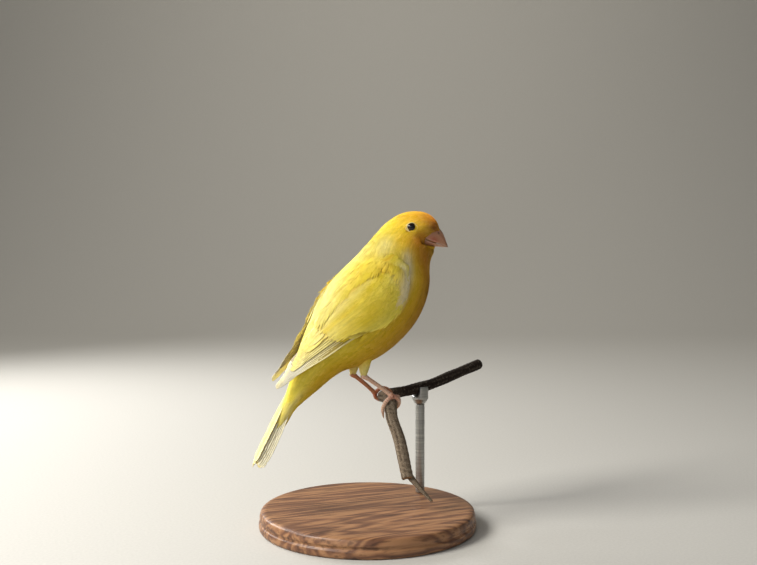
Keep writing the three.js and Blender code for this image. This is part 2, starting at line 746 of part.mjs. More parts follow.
// Where on the branch a foot sits, as a share of its length
function shareNear(place) {
  let best = 0;
  for (let i = 0; i <= 400; i++) {
    const share = i / 400;
    if (branchCurve.getPointAt(share).distanceTo(place) < branchCurve.getPointAt(best).distanceTo(place)) {
      best = share;
    }
  }
  return best;
}

// A point round the branch: moved along it from the foot, turned by angle from the top forwards
function gripPoint(footShare, shift, angle, radius) {
  const share = footShare + shift / BRANCH_LENGTH;
  const centre = branchCurve.getPointAt(share);
  const tangent = branchCurve.getTangentAt(share);
  const forward = point([1, 0, 0]);
  forward.addScaledVector(tangent, -forward.dot(tangent)).normalize();
  const up = forward.clone().cross(tangent);
  if (up.z < 0) up.negate();
  return centre
    .addScaledVector(up, radius * Math.cos(angle))
    .addScaledVector(forward, radius * Math.sin(angle));
}

function toe(side, footShare, roll, { start, reach: fullReach, claw, spread }) {
  const reach = fullReach + roll / 2;
  const steps = 7;
  const clawSteps = 4;
  const gripRadius = BRANCH_RADIUS + 0.2 + GAP + TOE_RADIUS;
  const centres = [];
  const radii = [];
  for (let i = 0; i <= steps; i++) {
    const t = i / steps;
    const angle = mix(start + roll, reach, 1 - (1 - t) ** 1.5);
    centres.push(gripPoint(footShare, side * spread * t ** 1.4, angle * DEGREE, gripRadius));
    radii.push(TOE_RADIUS * (1.12 - 0.22 * t + 0.06 * Math.cos(t * 18)));
  }
  for (let i = 1; i <= clawSteps; i++) {
    const t = i / clawSteps;
    const shift = side * spread * (1 + 0.4 * t);
    centres.push(gripPoint(footShare, shift, (reach + claw * t) * DEGREE, gripRadius - 0.1 * t));
    radii.push(mix(TOE_RADIUS * 0.72, 0.2, t));
  }
  return sweep(centres, radii, 6);
}

function leg(side) {
  const word = side === RIGHT ? "right" : "left";
  const ankle = point(ANKLE[word]);
  const roll = FOOT_ROLL[word];
  const footShare = shareNear(point(FOOT_ON_BRANCH[word]));
  const sole = gripPoint(footShare, 0, roll * DEGREE, BRANCH_RADIUS + 0.2 + GAP + TOE_RADIUS);
  const steps = 6;
  const centres = [];
  const radii = [];
  for (let i = 0; i <= steps; i++) {
    const t = i / steps;
    centres.push(ankle.clone().lerp(sole, t));
    const ends = 0.3 * smoothstep(1 - t * 5) + 0.25 * smoothstep((t - 0.8) * 5);
    radii.push(TARSUS_RADIUS + ends);
  }
  const pieces = [sweep(centres, radii, 8)];
  for (const each of TOES) pieces.push(toe(side, footShare, roll, each));
  return union(pieces).subtract(branchTube(GAP)).subtract(thighForm(side, GAP));
}

// Thighs: the feathered part of the leg down to the ankle
function thighForm(side, extra) {
  const ankle = point(side === RIGHT ? ANKLE.right : ANKLE.left);
  const top = new THREE.Vector3(THIGH_TOP.x, side * THIGH_TOP.y, THIGH_TOP.z);
  const end = ankle.clone().lerp(top, 0.08);
  const steps = 6;
  const centres = [];
  const radii = [];
  for (let i = 0; i <= steps; i++) {
    const t = i / steps;
    centres.push(top.clone().lerp(end, t));
    radii.push(mix(THIGH_TOP.radius, THIGH_END_RADIUS, t ** 0.75) + extra);
  }
  centres[steps].addScaledVector(end.clone().sub(top).normalize(), extra);
  return sweep(centres, radii, 12);
}

const thigh = (side) => thighForm(side, 0).subtract(swollenTorso);

// Stand
function standBase() {
  const bottom = BASE.top - BASE.thickness;
  const profile = [
    new THREE.Vector2(0, bottom),
    new THREE.Vector2(BASE.radius - BASE.edge / 2, bottom),
    new THREE.Vector2(BASE.radius, bottom + BASE.edge / 2),
    new THREE.Vector2(BASE.radius, BASE.top - BASE.edge * 1.5),
    new THREE.Vector2(BASE.radius - BASE.edge * 0.45, BASE.top - BASE.edge * 0.45),
    new THREE.Vector2(BASE.radius - BASE.edge * 1.5, BASE.top),
    new THREE.Vector2(0, BASE.top),
  ];
  const disc = new THREE.LatheGeometry(profile, 40);
  disc.rotateX(90 * DEGREE);
  disc.translate(BASE.x, 0, 0);
  return solid(disc);
}

function branchHeightAt(x) {
  let best = branchCurve.getPointAt(0);
  for (let i = 0; i <= 400; i++) {
    const place = branchCurve.getPointAt(i / 400);
    if (Math.abs(place.x - x) < Math.abs(best.x - x)) best = place;
  }
  return best;
}

const cradleFoot = branchHeightAt(ROD.x);
cradleFoot.z -= CRADLE.height;

function standCradle() {
  const profile = [
    new THREE.Vector2(0, 0),
    new THREE.Vector2(ROD.radius + 0.2, 0),
    new THREE.Vector2(CRADLE.radius, 2.2),
    new THREE.Vector2(CRADLE.radius, CRADLE.height + 0.6),
    new THREE.Vector2(0, CRADLE.height + 0.6),
  ];
  const cup = new THREE.LatheGeometry(profile, 24);
  cup.rotateX(90 * DEGREE);
  cup.translate(cradleFoot.x, cradleFoot.y, cradleFoot.z);
  return solid(cup).subtract(branchTube(GAP));
}

function standRod() {
  const length = cradleFoot.z - GAP - (BASE.top + GAP);
  const rod = new THREE.CylinderGeometry(ROD.radius, ROD.radius, length, 20);
  rod.rotateX(90 * DEGREE);
  rod.translate(cradleFoot.x, cradleFoot.y, BASE.top + GAP + length / 2);
  return solid(rod);
}

const canary = new THREE.Group();
canary.add(
  node("head", head(), HEAD_PLUMAGE),
  node("neck", neck(), PLUMAGE),
  node("torso", torso(), PLUMAGE),
  node("tail", tail(), FLIGHT_FEATHER),
  node("bill_upper", upperBill(), BILL_HORN),
  node("bill_lower", lowerBill(), BILL_HORN),
  node("branch", branch(), BARK),
  node("stand_base", standBase(), BASE_WOOD),
  node("stand_rod", standRod(), ROD_METAL),
  node("stand_cradle", standCradle(), ROD_METAL),
);
for (const [side, word] of [[RIGHT, "right"], [LEFT, "left"]]) {
  canary.add(
    node("eye_" + word, eyeBall(side, EYE.radius), EYE_BLACK),
    node("wing_" + word, wing(side), FLIGHT_FEATHER),
    node("thigh_" + word, thigh(side), PLUMAGE),
    node("leg_" + word, leg(side), LEG_SKIN),
  );
}
canary.position.set(-BASE.x, 0, BASE.thickness - BASE.top);

const part = new THREE.Group();
part.add(canary);

export default part;
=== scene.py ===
# %% [markdown]
# A canary on its perch, the looks
#
# The solids of this part were made and packed first. They load as a fixed frame, and everything
# below is dressed over it: one skin, a coat of small feathers, long wing and tail feathers, the
# horn of the bill, scaly legs, bark and a turned stand. All shapes are worked out as numpy arrays
# in millimetres, measured from the place where the feet grip the branch, because the bird was
# measured that way. One function then takes them to the part's own place in metres.

import bpy
import numpy as np
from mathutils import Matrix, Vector


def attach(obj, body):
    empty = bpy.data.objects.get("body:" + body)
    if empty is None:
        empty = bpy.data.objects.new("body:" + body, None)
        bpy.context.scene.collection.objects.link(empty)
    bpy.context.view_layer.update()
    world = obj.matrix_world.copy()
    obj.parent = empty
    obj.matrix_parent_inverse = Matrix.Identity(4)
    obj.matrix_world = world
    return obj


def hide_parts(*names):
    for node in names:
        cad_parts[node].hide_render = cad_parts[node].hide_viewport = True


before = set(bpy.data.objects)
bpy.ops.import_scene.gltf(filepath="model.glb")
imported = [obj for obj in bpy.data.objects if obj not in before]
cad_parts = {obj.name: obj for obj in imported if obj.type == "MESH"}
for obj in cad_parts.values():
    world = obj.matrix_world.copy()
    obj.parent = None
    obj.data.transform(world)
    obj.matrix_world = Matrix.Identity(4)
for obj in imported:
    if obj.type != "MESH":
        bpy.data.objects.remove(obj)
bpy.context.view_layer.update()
print("solids loaded:", len(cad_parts))

GRIP_IN_PART = np.array([10.0, 0.0, 53.0])  # mm from the stand's underside to the grip
RIGHT, LEFT = -1, 1  # the sign of y on each side of the bird
SIDES = ((RIGHT, "right"), (LEFT, "left"))
DEGREE = np.pi / 180
UP = np.array([0, 0, 1.0])
FORWARD = np.array([1.0, 0, 0])


def to_part(points):
    """Millimetres from the grip become metres in the part's frame: shift, then scale by 0.001."""
    return (np.asarray(points, float) + GRIP_IN_PART) * 0.001

# %% [markdown]
# Curves and sums that every piece uses
#
# The bird's outline is kept as short tables, as a boatbuilder keeps the half breadths of a hull.
# A smooth curve is drawn through each column, the same one as in the solids, so that skin and
# solid agree. Everything takes whole arrays, so a surface of ten thousand points is one call.

# %% Sums on arrays
def mix(a, b, t):
    """Goes evenly from a to b as t goes from 0 to 1."""
    return a + (b - a) * t


def smoothstep(t):
    """0 below 0, 1 above 1, and 3t^2 - 2t^3 between them."""
    s = np.clip(t, 0, 1)
    return s * s * (3 - 2 * s)


def bell(t):
    """1 in the middle, falling off as exp(-t^2)."""
    return np.exp(-t ** 2)


def unit(vectors):
    """Each vector divided by its own length."""
    return vectors / np.maximum(np.linalg.norm(vectors, axis=-1, keepdims=True), 1e-12)


def full_turn(count):
    """Angles at even steps round a full turn, the last one short of the first."""
    return 2 * np.pi * np.arange(count) / count


def path_length(line):
    """How far each point of a line lies along it: the running sum of the steps before it."""
    return np.concatenate([[0], np.cumsum(np.linalg.norm(np.diff(line, axis=0), axis=1))])


def hermite(b, c, slope_b, slope_c, t):
    """The cubic from b to c with these slopes at its ends."""
    t2, t3 = t * t, t * t * t
    start = (2 * t3 - 3 * t2 + 1) * b + (t3 - 2 * t2 + t) * slope_b
    return start + (3 * t2 - 2 * t3) * c + (t3 - t2) * slope_c


def read_rows(rows, at):
    """A Catmull-Rom curve through the rows of a table, read at fractional row numbers."""
    rows = np.asarray(rows, float)
    at = np.asarray(at, float)
    last = len(rows) - 1
    i = np.clip(np.floor(at).astype(int), 0, last - 1)
    a, b, c, d = (rows[np.clip(i + k, 0, last)] for k in (-1, 0, 1, 2))
    slope_b = np.where((i == 0)[..., None], c - b, (c - a) / 2)
    slope_c = np.where((i + 1 == last)[..., None], c - b, (d - b) / 2)
    return hermite(b, c, slope_b, slope_c, (at - i)[..., None])

# %% [markdown]
# Meshes from arrays
#
# Blender's foreach_set takes a whole array at once, which is fast enough for a million faces.
# A form is three arrays: points, faces, and each face corner's place on the flat unwrapping. The
# form used most is a closed tube: rings of points, with a fan to a middle point at each end.

# %% Making a mesh
def signed_volume(points, triangles):
    """Six times the volume inside is the sum of a . (b x c) over all triangles."""
    a, b, c = (points[triangles[:, k]] for k in range(3))
    return (a * np.cross(b, c)).sum() / 6


def fill(layer, key, values):
    """Puts an array into a layer of a mesh in one go."""
    layer.foreach_set(key, np.ascontiguousarray(values).ravel())


def make_mesh(name, form, material, colour=None):
    """One object from a form in mm, with a colour for each point if there is one."""
    points, faces, uv = form
    mesh = bpy.data.meshes.new(name)
    corners = faces.shape[1]
    mesh.vertices.add(len(points))
    fill(mesh.vertices, "co", to_part(points).astype(np.float32))
    mesh.loops.add(faces.size)
    fill(mesh.loops, "vertex_index", faces.astype(np.int32))
    mesh.polygons.add(len(faces))
    fill(mesh.polygons, "loop_start", np.arange(0, faces.size, corners, dtype=np.int32))
    mesh.update(calc_edges=True)
    fill(mesh.polygons, "use_smooth", np.ones(len(faces), bool))
    mesh.materials.append(material)
    if colour is not None:
        layer = mesh.color_attributes.new("markings", "FLOAT_COLOR", "POINT")
        opaque = np.concatenate([colour, np.ones((len(colour), 1))], axis=1)
        fill(layer.data, "color", opaque.astype(np.float32))
    if uv is not None:
        fill(mesh.uv_layers.new(name="OFBake").data, "uv", uv.astype(np.float32))
    made = bpy.data.objects.new(name, mesh)
    bpy.context.scene.collection.objects.link(made)
    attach(made, "root")
    print(f"{name}: {len(faces) * (corners - 2)} triangles")
    return made


def closed_tube(rings):
    """Rings (rows, columns, 3) to a form of triangles facing out: two for each field between the
    rings, then a fan over the first ring and one over the last."""
    rows, columns = rings.shape[:2]
    points = np.concatenate([rings.reshape(-1, 3), rings[:1].mean(1), rings[-1:].mean(1)])
    r, c = (grid.reshape(-1, 1) for grid in np.mgrid[:rows - 1, :columns])
    row = np.concatenate([r + (0, 0, 1), r + (0, 1, 1)])
    column = np.concatenate([c + (0, 1, 1), c + (0, 1, 0)])
    k = np.arange(columns)[:, None]
    first_fan, last_fan = k + (0, 1, 0), k + (0, 0, 1)
    triangles = np.concatenate([row * columns + column % columns, first_fan % columns,
                                (rows - 1) * columns + last_fan % columns])
    triangles[-2 * columns:, 0] = np.repeat([len(points) - 2, len(points) - 1], columns)
    u = np.concatenate([column, first_fan, last_fan]) / columns
    v = np.concatenate([row / (rows - 1), 0.0 * first_fan, 0.0 * last_fan + 1])
    uv = np.stack([u, v], -1)
    if signed_volume(points, triangles) < 0:
        triangles, uv = triangles[:, ::-1], uv[:, ::-1]
    return points, triangles, uv


def join_forms(forms):
    """Several forms as one, each one's triangles moved past the points before."""
    starts = np.cumsum([0] + [len(points) for points, _, _ in forms[:-1]])
    points, triangles, uv = zip(*forms)
    moved = [faces + start for faces, start in zip(triangles, starts)]
    return np.concatenate(points), np.concatenate(moved), np.concatenate(uv)


def per_point(values):
    """Values on rings (..., rows, columns, k) in the order of a tube's points: the rings, then the
    means of the first and the last ring."""
    flat = values.reshape(*values.shape[:-3], -1, values.shape[-1])
    return np.concatenate([flat, values[..., [0, -1], :, :].mean(-2)], -2)


def sweep(centres, radii, reference, sides):
    """Rings round a line: centre + r (N cos a + B sin a), where N is the reference made square to
    the line and B = T x N. Radii are one per ring, or one per ring and angle."""
    tangent = unit(np.gradient(centres, axis=0))
    reference = np.asarray(reference, float)
    normal = unit(reference - (tangent * reference).sum(-1, keepdims=True) * tangent)
    binormal = np.cross(tangent, normal)
    angle = full_turn(sides)[:, None]
    radius = np.broadcast_to(radii, (len(centres), sides))[..., None]
    return centres[:, None] + radius * (
        normal[:, None] * np.cos(angle) + binormal[:, None] * np.sin(angle))

# %% [markdown]
# Materials from small graphs
#
# Each material is a graph of nodes. One function adds a node, sets it and links it, and one turns
# a colour as it is written on a screen to the linear light that the renderer works in. Most
# finishes here are the same three steps, so each step is a function: the piece's own markings, a
# noise that makes their tint uneven, and a bump that breaks the gloss.

# %% Adding a node
def linear(hex_colour):
    """An sRGB colour such as "f2e27a" as linear red, green and blue."""
    value = np.array([int(hex_colour[i:i + 2], 16) for i in (0, 2, 4)]) / 255
    return np.where(value <= 0.04045, value / 12.92, ((value + 0.055) / 1.055) ** 2.4)


def palette(**colours):
    """A dictionary of names and sRGB colours as one of names and linear colours."""
    return {name: linear(hex_colour) for name, hex_colour in colours.items()}


def opaque(hex_colour):
    """The same colour with a full fourth value, as a shader's socket takes it."""
    return (*linear(hex_colour), 1.0)


def new_material(name, sockets):
    """A material whose Principled shader has these sockets set, and the object's own places."""
    material = bpy.data.materials.new(name)
    material.use_nodes = True
    tree = material.node_tree
    shader = tree.nodes["Principled BSDF"]
    for key, value in sockets.items():
        shader.inputs[key].default_value = value
    return material, tree, shader, add(tree, "TexCoord").outputs["Object"]


def add(tree, kind, settings=None, inputs=None):
    """Adds a node of one kind. Inputs are values, or sockets of other nodes to link from."""
    made = tree.nodes.new("ShaderNode" + kind)
    for key, value in (settings or {}).items():
        setattr(made, key, value)
    for key, value in (inputs or {}).items():
        if isinstance(value, bpy.types.NodeSocket):
            tree.links.new(value, made.inputs[key])
        else:
            made.inputs[key].default_value = value
    return made


def noise(tree, place, scale, detail, **more):
    """Noise at a scale of grains to the metre."""
    return add(tree, "TexNoise", inputs={
        "Vector": place, "Scale": scale, "Detail": detail, **more}).outputs["Fac"]


def ramp(tree, factor, *stops):
    """A colour ramp: stops are (place, sRGB hex)."""
    made = add(tree, "ValToRGB", inputs={"Fac": factor})
    elements = made.color_ramp.elements
    while len(elements) < len(stops):
        elements.new(0.5)
    for element, (place, hex_colour) in zip(elements, stops):
        element.position = place
        element.color = opaque(hex_colour)
    return made.outputs["Color"]


def stored(tree, title, output="Fac"):
    """Reads the values that a mesh keeps under a title."""
    return add(tree, "Attribute", {"attribute_name": title}).outputs[output]


def blended(tree, share, a, b, way="MIX"):
    """Colour b laid over colour a by a share."""
    settings = {"data_type": "RGBA", "blend_type": way}
    return add(tree, "Mix", settings, {"Factor": share, "A": a, "B": b}).outputs["Result"]


def calculated(tree, operation, *values):
    """One step of arithmetic."""
    return add(tree, "Math", {"operation": operation}, dict(enumerate(values))).outputs["Value"]


def wire(tree, shader, colour, bump=None):
    """Links the colour, and a bump of (strength, depth in metres, height), to the shader."""
    tree.links.new(colour, shader.inputs["Base Color"])
    if bump:
        made = add(tree, "Bump", inputs=dict(zip(("Strength", "Distance", "Height"), bump)))
        tree.links.new(made.outputs["Normal"], shader.inputs["Normal"])


def uneven(tree, share, grain, *stops, under=None):
    """The mesh's markings, or another colour, multiplied by a ramp of a noise, by a share."""
    under = under or stored(tree, "markings", "Color")
    return blended(tree, share, under, ramp(tree, grain, *stops), "MULTIPLY")

# %% [markdown]
# The body's form
#
# A perching bird's body is one smooth egg from the bill to the tail, because the feathers hide
# neck and shoulders. It is a row of ribs, each a slanted ellipse. The head is then turned a little
# to the bird's right, twisting the neck over three ribs. The skin's surface is this form pressed
# in by the depth of the coat, and the feathers' tips reach back out to it.

# %% The body's surface
RIBS = [
    # back x, back z, belly x, belly z, half the breadth
    (-48.4, -3.6, -45.0, -7.8, 2.4),  # end of the tail coverts
    (-45.6, 2.7, -41.2, -2.1, 3.4),
    (-43.2, 9.8, -33.2, 4.2, 5.0),
    (-40.4, 19.2, -22.7, 11.8, 8.5),  # vent
    (-36.4, 29.2, -12.6, 14.6, 12.0),
    (-31.9, 38.8, -2.2, 19.6, 14.2),
    (-26.5, 47.5, 8.1, 28.3, 15.0),
    (-20.7, 53.8, 14.2, 37.5, 14.6),
    (-14.4, 59.6, 17.0, 46.7, 13.0),  # shoulders and breast
    (-9.4, 64.6, 17.2, 54.6, 10.5),
    (-5.1, 69.2, 18.1, 58.8, 8.6),  # nape and throat
    (-1.3, 73.1, 19.3, 61.0, 8.0),
    (4.2, 76.7, 19.8, 62.3, 7.8),  # hind crown and chin
    (10.1, 78.1, 20.0, 63.0, 7.4),
    (15.5, 77.5, 20.2, 63.8, 6.6),  # forehead
    (19.4, 74.8, 20.4, 64.7, 5.2),
    (21.2, 70.8, 20.7, 66.1, 3.8),  # base of the bill
]
LAST_RIB = len(RIBS) - 1
HEAD_TURN = -12 * DEGREE
TURN_AXIS_X = 6.0
NECK_FROM, NECK_RIBS = 7.6, 2.8  # the ribs over which the neck twists


def turned(points, share=1.0):
    """Turns points about the upright line x = 6 mm, y = 0, by a share of the head's turn."""
    angle = HEAD_TURN * share
    x, y, z = points[..., 0] - TURN_AXIS_X, points[..., 1], points[..., 2]
    across = x * np.sin(angle) + y * np.cos(angle)
    return np.stack([TURN_AXIS_X + x * np.cos(angle) - y * np.sin(angle), across, z], -1)


def neck_share(rib):
    """The share of the head's turn that a rib takes."""
    return smoothstep((rib - NECK_FROM) / NECK_RIBS)

# %% The face, narrowed to the bill
GAPE = np.array([14.3, 66.5])  # corner of the mouth in x and z, before the head turns
MOUTH_SLOPE = 18 * DEGREE
FACE_TAPER = 0.95
RIDGE_REACH = 5.4  # mm from the gape to the first of the horn, along the ridge
FACE_POWER = 2.35


def mouth_place(x, z):
    """Distance from the gape along the line of the mouth, and the height over that line."""
    ahead, above = x - GAPE[0], z - GAPE[1]
    along = ahead * np.cos(MOUTH_SLOPE) - above * np.sin(MOUTH_SLOPE)
    return along, ahead * np.sin(MOUTH_SLOPE) + above * np.cos(MOUTH_SLOPE)


def face_edge(height):
    """Where the feathers end along the bill: 0.5 mm from the gape at the mouth, rising with the
    height to the power 1.6 to 5.4 mm at the ridge, and 0.4 mm further for each mm below."""
    above = (np.maximum(height, 0) / RIDGE_REACH) ** 1.6
    return mix(0.5, RIDGE_REACH, above) + 0.4 * np.maximum(-height, 0)


def face_breadth(x, z):
    """The most half the face may measure: the horn's half breadth at that height, plus 0.95 mm for
    each mm behind the edge of the feathers. Below the bill the chin is let off."""
    along, height = mouth_place(x, z)
    upper, lower = (half * np.sqrt(np.clip(1 - (np.clip(rise, 0, None) / full) ** FACE_POWER, 0, 1))
                    for half, rise, full in ((3.5, height, 7.0), (3.0, -height, 2.4)))
    sides = np.where(height > 0, upper, lower) + FACE_TAPER * (face_edge(height) - along)
    behind = smoothstep(-along / 3)
    return np.maximum(0.4, sides) + 8 * smoothstep(
        (0.1 * along - height - 2 + 1.6 * behind) / mix(1.0, 2.8, behind))


def body_surface(rib, around, swell=0.0):
    """Middle of the rib + up (depth + swell) cos(around), y = -(half + swell) sin(around): 0 is the
    back, a quarter turn the bird's right side and half a turn the belly. Beside the bill a smooth
    minimum, s / (1 + (s / limit)^6)^(1/6), narrows the face to the horn."""
    rib, around, swell = np.broadcast_arrays(rib, around, swell)
    row = read_rows(RIBS, rib)
    back, belly = row[..., 0:2], row[..., 2:4]
    depth = np.linalg.norm(back - belly, axis=-1) / 2
    middle = (back + belly) / 2
    up = (back - middle) / depth[..., None]
    rise = (depth + swell) * np.cos(around)
    side = -(row[..., 4] + swell) * np.sin(around)
    x, z = middle[..., 0] + up[..., 0] * rise, middle[..., 1] + up[..., 1] * rise
    limit = np.maximum(face_breadth(x, z) + swell, 0.3)
    side = side / (1 + (np.abs(side) / limit) ** 6) ** (1 / 6)
    return turned(np.stack([x, side, z], -1), neck_share(rib))


def coat_depth(rib):
    """0.75 mm of feathers on the body, thinning along the neck to 0.3 mm round the bill."""
    return mix(0.75, 0.3, smoothstep((np.asarray(rib, float) - 8.5) / 6.5))


bill_base, coverts_end = body_surface(float(LAST_RIB), 0.0), body_surface(0.0, 0.0)
print("from coverts to bill:", round(float(np.linalg.norm(coverts_end - bill_base)), 1), "mm")

# %% [markdown]
# The wing's form
#
# A folded wing is a leaf that lies on the flank. Its lower and upper edges are two short tables
# from wrist to tip, and a point is named by its share along and across. Where there is body
# beside it the leaf lies just over the body, and beyond the rump it runs free.

# %% The wing's surface
WING_LOWER = [
    (2.0, -10.4, 53.0), (-0.5, -13.7, 42.0), (-9.0, -15.3, 32.5), (-22.5, -14.4, 25.0),
    (-32.5, -12.0, 18.2), (-42.5, -7.6, 12.2), (-49.4, -3.9, 6.2),
]
WING_UPPER = [
    (-5.5, -9.6, 59.0), (-15.5, -9.4, 53.0), (-24.5, -8.6, 45.0), (-31.5, -7.2, 36.0),
    (-37.5, -5.4, 27.0), (-43.5, -3.6, 17.5), (-50.6, -3.4, 8.8),
]
WING_STANDS_OFF = 0.9
LEFT_TIP_RISE = 2.4
NEARBY = 0.02  # the step for differences on the wing


def place_on_rib(x, z):
    """For places in the side view: the rib through each, found by halving, and the height on it
    from -1 at the belly to 1 at the back."""
    low, high = np.zeros(np.shape(x)), np.full(np.shape(x), float(LAST_RIB))

    def measure(rib):
        row = read_rows(RIBS, rib)
        spine = row[..., 0:2] - row[..., 2:4]
        length = np.linalg.norm(spine, axis=-1)
        up = spine / length[..., None]
        dx, dz = x - (row[..., 0] + row[..., 2]) / 2, z - (row[..., 1] + row[..., 3]) / 2
        return dx * up[..., 1] - dz * up[..., 0], 2 * (dx * up[..., 0] + dz * up[..., 1]) / length

    for _ in range(24):
        rib = (low + high) / 2
        ahead = measure(rib)[0]
        low, high = np.where(ahead > 0, rib, low), np.where(ahead > 0, high, rib)
    return low, measure(low)[1]


def wing_face(side, along, across):
    """Between the two edges at a share across; y is a smooth maximum of the leaf's own breadth and
    the body's breadth there plus a clearance."""
    along, across = np.broadcast_arrays(np.asarray(along, float), np.asarray(across, float))
    row = along * (len(WING_LOWER) - 1)
    leaf = mix(read_rows(WING_LOWER, row), read_rows(WING_UPPER, row), across[..., None])
    rib, height = place_on_rib(leaf[..., 0], leaf[..., 2])
    half = read_rows(RIBS, rib)[..., 4]
    body = half * np.sqrt(np.clip(1 - height ** 2, 0, None)) + WING_STANDS_OFF
    free = -leaf[..., 1]
    y = (free + body + np.hypot(free - body, 1.0)) / 2 - 0.25
    rise = LEFT_TIP_RISE * smoothstep((along - 0.5) * 2) if side == LEFT else 0.0
    return np.stack([leaf[..., 0], side * y, leaf[..., 2] + rise], -1)


def wing_out(side, along, across):
    """The way out of the wing's face, from differences nearby."""
    run = wing_face(side, along + NEARBY, across) - wing_face(side, along - NEARBY, across)
    rise = wing_face(side, along, across + NEARBY) - wing_face(side, along, across - NEARBY)
    out = unit(np.cross(run, rise))
    return out * np.where(out[..., 1:2] * side < 0, -1.0, 1.0)


def wing_point(side, along, across, lift):
    """A point at a height over the wing's face."""
    along, across, lift = np.broadcast_arrays(along, across, lift)
    return wing_face(side, along, across) + wing_out(side, along, across) * lift[..., None]


wrist, wing_tip = wing_face(RIGHT, 0.0, 0.5), wing_face(RIGHT, 1.0, 0.5)
print("folded wing:", round(float(np.linalg.norm(wrist - wing_tip)), 1), "mm from wrist to tip")

# %% [markdown]
# Colours of the plumage
#
# A canary's yellow comes from its food and sits unevenly: orange on the forehead and cheek, gold
# on the crown and breast, lemon on the back, and nearly white where the wing's edge meets the
# breast. The ochre and umber on the breast's front, the lores, the throat and the chin are partly
# that colour and partly painted shade. The markings are soft patches laid over one another, each
# with a centre, a spread and a strength, in the body's own ribs and degrees. Skin and feathers ask
# the same function, so they always agree.

# %% Markings
TONE = palette(lemon="f0d92a", cream="f1e18c", frost="f1e9cc", yellow="f0cd00",
               gold="ecb600", ochre="c88600", orange="dc8400", umber="824400")
BODY_MARKS = [
    # tone, rib, degrees round from the back, spread in ribs, spread in degrees, strength
    ("yellow", 6.0, 125, 6.0, 45, 0.7),
    ("gold", 4.5, 140, 2.6, 40, 0.8),
    # ochre on the breast's front: partly the bird's deeper yellow, partly painted shade
    ("ochre", 7.4, 152, 3.0, 36, 0.9),
    ("yellow", 11.6, 30, 2.2, 70, 0.85),
    ("gold", 12.5, 38, 1.3, 46, 0.85),
    ("orange", 14.6, 50, 1.9, 80, 0.97),
    # umber on the lores: partly the bird's colour, partly painted shade
    ("umber", 14.3, 84, 1.4, 34, 0.9),
    ("gold", 10.2, 74, 1.2, 20, 0.7),
    # ochre on the neck's side: partly the bird's colour, partly painted shade
    ("ochre", 10.7, 104, 1.0, 20, 0.7),
    # ochre on the chin: painted shade under the bill
    ("ochre", 13.4, 165, 2.4, 42, 0.85),
    # orange and umber on the throat below the cheek: partly the bird's colour, partly painted shade
    ("orange", 11.4, 104, 1.0, 19, 0.9),
    ("umber", 12.5, 112, 0.6, 14, 0.6),
    ("orange", 9.7, 132, 1.4, 30, 0.75),
    ("umber", 10.2, 138, 1.3, 28, 0.55),
    ("cream", 9.1, 48, 0.8, 18, 0.75),
    ("cream", 8.3, 12, 0.8, 22, 0.5),
    ("cream", 5.2, 20, 1.8, 26, 0.8),
    ("yellow", 7.4, 34, 1.1, 16, 0.6),
    ("gold", 7.5, 62, 0.8, 9, 0.7),
    ("yellow", 6.4, 52, 1.2, 14, 0.7),
    ("frost", 7.9, 95, 0.9, 8, 0.75),
    ("frost", 6.9, 101, 0.6, 7, 0.7),
    ("frost", 8.7, 92, 0.5, 10, 0.45),
    ("gold", 2.4, 112, 1.0, 30, 0.6),
    ("cream", 1.0, 95, 0.8, 20, 0.7),
]
WING_MARKS = [
    # tone, share along, share across, spread along, spread across, strength
    ("cream", 0.74, 0.60, 0.30, 0.50, 0.85),
    ("cream", 0.46, 0.95, 0.16, 0.22, 0.7),
    ("yellow", 0.14, 0.72, 0.20, 0.10, 0.7),
    ("gold", 0.10, 0.92, 0.20, 0.09, 0.85),
    ("gold", 0.28, 0.92, 0.10, 0.07, 0.6),
    ("yellow", 0.42, 0.66, 0.16, 0.07, 0.6),
    ("yellow", 0.34, 0.40, 0.17, 0.22, 0.65),
    ("cream", 0.26, 0.80, 0.08, 0.05, 0.5),
    ("frost", 0.03, 0.22, 0.05, 0.26, 0.8),
    ("yellow", 0.40, 0.26, 0.12, 0.10, 0.5),
    ("yellow", 0.62, 0.72, 0.14, 0.07, 0.5),
]
STREAK_WAVES = 18


def streaks(seed, along, across):
    """A sum of sine waves that are long the way the feathers lie and short across them, from about
    -1 to 1."""
    rng = np.random.default_rng(seed)
    total = np.zeros(np.shape(along))
    for _ in range(STREAK_WAVES):
        total = total + np.sin(along * rng.uniform(-1.6, 1.6) + across * rng.uniform(1, 9.0)
                               + rng.uniform(0, 6.28))
    return total / STREAK_WAVES ** 0.5 / 1.4


def lay(colour, tone, share):
    """Lays a tone over colours by a share for each point."""
    return mix(colour, tone, np.asarray(share)[..., None])


def marked(cream, marks, along, across, streak):
    """Lemon with a share of cream, then each mark with strength x exp(-distance squared in its own
    spreads), then darker and paler streaks."""
    colour = np.broadcast_to(mix(TONE["lemon"], TONE["cream"], cream), (*along.shape, 3))
    for tone, at, over, spread_along, spread_across, strength in marks:
        near = ((along - at) / spread_along) ** 2 + ((across - over) / spread_across) ** 2
        colour = lay(colour, TONE[tone], strength * np.exp(-near))
    return np.clip(colour * (1 + streak[..., None]), 0, 1)


def body_colour(rib, around):
    """The plumage's colour on the body, the same on both sides."""
    rib, around = np.broadcast_arrays(np.asarray(rib, float), np.asarray(around, float))
    folded = np.abs((around / DEGREE + 180) % 360 - 180)
    return marked(0.15, BODY_MARKS, rib, folded, 0.08 * streaks(11, rib, folded / 6))


def wing_colour(along, across):
    """The plumage's colour on the wing, in shares along and across it."""
    along, across = np.broadcast_arrays(np.asarray(along, float), np.asarray(across, float))
    return marked(0.2, WING_MARKS, along, across, 0.09 * streaks(23, along * 6, across * 11))

# %% [markdown]
# Plumage as a material
#
# Feathers are keratin: a dull sheen, light that passes a little into them, and fine barbs too
# small to show one by one. The markings come from the mesh as an attribute. Noise gives the uneven
# take-up of colour, and a finer noise in the bump breaks the gloss as the barbs do.

